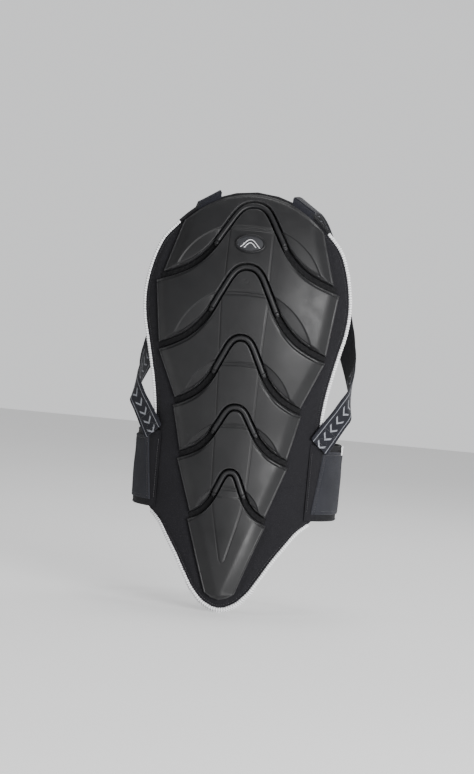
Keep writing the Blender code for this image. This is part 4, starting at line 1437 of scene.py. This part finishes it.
def strap_rows(name, side, corners, lift, material):
    """Stitches round a box and across it, on the strap: corners are shares and distances across."""
    (start, end), half = corners
    full = lengths_along(strap_line()[0])[-1]
    outline_points = np.array([[start, -half], [end, -half], [end, half], [start, half], [start, -half], [end, half],
                               [end, -half], [start, half]])
    scaled = resampled(outline_points * [full, 1], 160) / [full, 1]
    line = strap_points(scaled[:, 0], scaled[:, 1], np.full(len(scaled), lift))
    up = line - strap_points(scaled[:, 0], scaled[:, 1], np.full(len(scaled), lift - 1 * MM))
    flip = np.array([side, 1, 1])
    return stitches(name, line * flip, up * flip, material, pitch=3.0 * MM, length=2.1 * MM)


def straps(webbing, stretch, thread_look):
    """Both straps, each from its root at the collar to the end that grips the flank."""
    for word, side in SIDES:
        over = strap(f"strap_over_{word}", side, SHOULDER_SPAN, webbing, webbing_shape)
        attach(over, "strap_webbing", "collar_segment", [f"shoulder_strap_{word}"])
        attach(strap_root(f"strap_anchor_{word}", side, webbing), "strap_webbing", "collar_segment")
        marks = np.linspace(*ELASTIC_SPAN, 5)
        for number, (start, end) in enumerate(zip(marks[:-1], marks[1:])):
            piece = strap(f"strap_stretch_{word}_{number + 1}", side, (start, end), stretch, stretch_shape)
            ends = [strap_points(np.array(s), np.array(0.0), np.array(0.0)) * [side, 1, 1] for s in (start, end)]
            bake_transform(piece)
            attach(piece, "elastic", nodes=[f"strap_elastic_{word}"] if number == 0 else [])
        low = strap(f"strap_side_{word}", side, SIDE_SPAN, webbing, webbing_shape)
        attach(low, "strap_webbing", "lumbar_segment", [f"side_strap_{word}"])
        tab = strap(f"strap_end_{word}", side, TAB_SPAN, webbing, tab_shape, round_end=4 * MM, lift=TAB_LIFT)
        attach(tab, "strap_webbing", f"tab_{word}", [f"strap_tab_{word}"])
        top = STRAP_THICKNESS + 0.15 * MM
        for label, body, corners, lift in (("join_top", "collar_segment", ((0.360, 0.392), 12 * MM), top),
                                           ("join_low", "lumbar_segment", ((0.694, 0.724), 12 * MM), top),
                                           ("end", f"tab_{word}", ((0.948, 0.990), 13 * MM), top + TAB_LIFT)):
            row = strap_rows(f"strap_box_{label}_{word}", side, corners, lift, thread_look)
            attach(row, "strap_webbing", body)


# ---------------------------------------------------------------- badge


def badge(rubber, cloth, silver):
    """An oval rubber frame round a woven field, with a plain pair of nested arches on it."""
    middle = on_back(0.0, BADGE_HEIGHT, PLATE_CROWN + 0.35 * MM)
    normal = outward(np.array(0.0), np.array(BADGE_HEIGHT))
    right = np.array([1.0, 0, 0])
    up = np.cross(normal, right)

    def place(x, y, height):
        x, y, height = np.broadcast_arrays(x, y, height)
        sag = 0.5 * x**2 / 0.18
        return middle + x[..., None] * right + y[..., None] * up + (height - sag)[..., None] * normal

    turn = np.linspace(0, 2 * math.pi, 96, endpoint=False)
    half_x, half_y = BADGE_HALF
    profile = [(1.0, -0.6), (1.0, 1.2), (0.985, 1.9), (0.955, 2.3), (0.915, 2.45), (0.875, 2.3), (0.85, 1.9),
               (0.84, 1.1), (0.80, 0.95)]
    rows = []
    for share, height in profile:
        inset = (1 - share) * half_x
        rows.append(place((half_x - inset) * np.cos(turn), (half_y - inset) * np.sin(turn), height * MM))
    points = np.stack(rows)
    under = place((half_x - 0.2 * half_x) * np.cos(turn), (half_y - 0.2 * half_x) * np.sin(turn), -0.6 * MM)
    points = np.concatenate([points, under[None]])
    count = len(turn)
    faces = quads_of(len(points), count, around=True)
    closing = np.stack([np.arange(count) + (len(points) - 1) * count,
                        np.roll(np.arange(count), -1) + (len(points) - 1) * count,
                        np.roll(np.arange(count), -1), np.arange(count)], axis=1)
    piece = make("badge_frame", points.reshape(-1, 3), np.concatenate([faces, closing]), rubber, crease=50)
    attach(piece, "badge_rubber", "shoulder_segment", ["badge"])

    ring = np.stack([np.cos(turn), np.sin(turn)], axis=-1)
    field = [((half_x - BADGE_RIM) * share, (half_y - BADGE_RIM) * share, (1.15 + 0.35 * (1 - share**2)) * MM)
             for share in np.linspace(0.04, 1, 14)]
    field.append((half_x - BADGE_RIM, half_y - BADGE_RIM, 0.2 * MM))
    points = np.stack([place(wide * ring[:, 0], tall * ring[:, 1], np.array(height)) for wide, tall, height in field])
    middles = np.stack([place(np.array(0.0), np.array(0.0), np.array(height)) for height in (1.5 * MM, 0.2 * MM)])
    first, last, hub = np.arange(0, count, 2), (len(field) - 1) * count, np.full(count // 2, len(field) * count)
    upper = np.stack([hub, first, first + 1, (first + 2) % count], axis=1)
    lower = np.stack([hub + 1, last + (first + 2) % count, last + first + 1, last + first], axis=1)
    around = quads_of(len(field), count, around=True)[:, ::-1]
    faces = np.concatenate([upper, around, lower])
    piece = make("badge_field", np.concatenate([points.reshape(-1, 3), middles]), faces, cloth, crease=50)
    attach(piece, "badge_rubber", "shoulder_segment")

    for number, (wide, tall, drop) in enumerate(((14.0, 11.6, -6.0), (8.6, 7.0, -6.0))):
        share = np.linspace(-1, 1, 60)
        x = wide * MM * share
        y = (drop + tall * np.cos(math.pi * share / 2) ** 1.3) * MM
        line = place(x, y, 1.55 * MM)
        normals = np.broadcast_to(normal, line.shape)
        arch = tube(f"badge_arch_{number + 1}", line, normals, 0.55 * MM, silver, sides=8, flatten=0.6)
        attach(arch, "badge_rubber", "shoulder_segment")


# ---------------------------------------------------------------- studio

PIXEL = 1.42 * MM
FRAME_HEIGHT = 774 * PIXEL
CAMERA_DISTANCE = 3.6
CAMERA_YAW, CAMERA_TILT, CAMERA_ROLL = 5.0, 1.5, 5.2


def camera():
    """Square on the wearer's back, a little to the right of it, and rolled as the wearer leans."""
    data = bpy.data.cameras.new("camera")
    data.sensor_fit = "VERTICAL"
    data.sensor_height = 24.0
    data.lens = 24.0 * CAMERA_DISTANCE / FRAME_HEIGHT
    obj = bpy.data.objects.new("camera", data)
    bpy.context.scene.collection.objects.link(obj)
    yaw, tilt, roll = (math.radians(a) for a in (CAMERA_YAW, CAMERA_TILT, CAMERA_ROLL))
    towards = Vector((-math.sin(yaw) * math.cos(tilt), math.cos(yaw) * math.cos(tilt), -math.sin(tilt)))
    target = Vector((-0.002, 0.0, 0.0213))
    turn = towards.to_track_quat("-Z", "Y").to_matrix().to_4x4() @ Matrix.Rotation(roll, 4, "Z")
    obj.matrix_world = Matrix.Translation(target - CAMERA_DISTANCE * towards) @ turn
    bpy.context.scene.camera = obj


def lamp(name, place, target, size, power):
    """A rectangular lamp that faces its target."""
    data = bpy.data.lights.new(name, "AREA")
    data.shape = "RECTANGLE"
    data.size, data.size_y = size
    data.energy = power
    obj = bpy.data.objects.new(name, data)
    bpy.context.scene.collection.objects.link(obj)
    obj.location = place
    obj.rotation_euler = (Vector(target) - Vector(place)).to_track_quat("-Z", "Y").to_euler()


def studio():
    """The floor under the object, the room and the three lamps."""
    floor_look = Look("floor", 0.7)
    shade = floor_look.blended(floor_look.noise(1.5, 2), (0.80, 0.80, 0.80), (0.84, 0.84, 0.84))
    floor_look.shader.inputs["Emission Color"].default_value = (1, 1, 1, 1)
    floor_look.shader.inputs["Emission Strength"].default_value = 0.30
    material = floor_look.finish(shade)
    low = min(float(corner[2]) for corner in cad_box)
    x, y = np.meshgrid(np.linspace(-6, 6, 5), np.linspace(-6, 6, 5))
    points = np.stack([x, y, np.full(x.shape, low - 2 * MM)], axis=-1)
    floor = make("floor", points.reshape(-1, 3), quads_of(5, 5), material, closed=False)
    backdrop()
    lamp("key", (1.95, -2.7, 0.35), (0, 0, 0), (1.7, 1.7), 188)
    lamp("top", (0.2, 0.2, 2.8), (0, 0, 0.1), (1.6, 1.4), 40)
    lamp("rim", (1.5, 1.9, 1.5), (0, 0, 0.1), (1.0, 1.2), 12)


def backdrop():
    """A pale room: brightest in front of the wearer, dimmer round the rest and overhead."""
    world = bpy.data.worlds.new("studio")
    world.use_nodes = True
    tree = world.node_tree
    shader = tree.nodes["Background"]
    shader.inputs["Color"].default_value = (0.985, 0.99, 1.0, 1)
    way = tree.nodes.new("ShaderNodeTexCoord").outputs["Generated"]
    turned = tree.nodes.new("ShaderNodeVectorMath")
    turned.operation = "DOT_PRODUCT"
    tree.links.new(way, turned.inputs[0])
    turned.inputs[1].default_value = (0.1, 0.995, 0.0)
    split = tree.nodes.new("ShaderNodeSeparateXYZ")
    tree.links.new(way, split.inputs[0])
    parts = []
    for source, first, last, low, high in ((turned.outputs["Value"], 0.3, 0.95, 0.60, 0.93),
                                           (split.outputs["Z"], 0.12, 0.75, 1.0, 0.42)):
        spread = tree.nodes.new("ShaderNodeMapRange")
        tree.links.new(source, spread.inputs["Value"])
        for socket, value in (("From Min", first), ("From Max", last), ("To Min", low), ("To Max", high)):
            spread.inputs[socket].default_value = value
        parts.append(spread.outputs["Result"])
    product = tree.nodes.new("ShaderNodeMath")
    product.operation = "MULTIPLY"
    for socket, part in zip(product.inputs, parts):
        tree.links.new(part, socket)
    tree.links.new(product.outputs["Value"], shader.inputs["Strength"])
    bpy.context.scene.world = world


# ---------------------------------------------------------------- the object


def dress_foam(material):
    """The foam cores keep the CAD's shape, out of sight inside the plates."""
    for number in range(6):
        mesh = frame["nodes"][f"foam_core_{number + 1}"].data
        mesh.materials.clear()
        mesh.materials.append(material)


def main():
    """Builds everything, from the camera to the foam cores."""
    camera()
    studio()
    hard, rubber, mesh_look = plate_plastic(), rib_rubber(), vent_mesh()
    fabric, stitch = softshell(), thread()
    for number in range(6):
        plate(number, hard)
    for number in range(5):
        rib(number, rubber)
        vent(number, mesh_look)
    cores(fabric)
    margins(fabric, stitch)
    lining(spacer_mesh())
    cord = reflective_piping()
    side_cords(cord)
    tail_cords(cord)
    collar_cord(binding_tape())
    elastic, knit, hook = belt_elastic(), belt_knit(), hook_and_loop()
    for word, side in SIDES:
        belt_side(word, side, elastic, knit, fabric, stitch)
    closure(hook, knit, stitch, label_satin())
    straps(strap_webbing(), strap_stretch(), stitch)
    badge(badge_rubber(), badge_cloth(), badge_silver())
    dress_foam(impact_foam())


main()
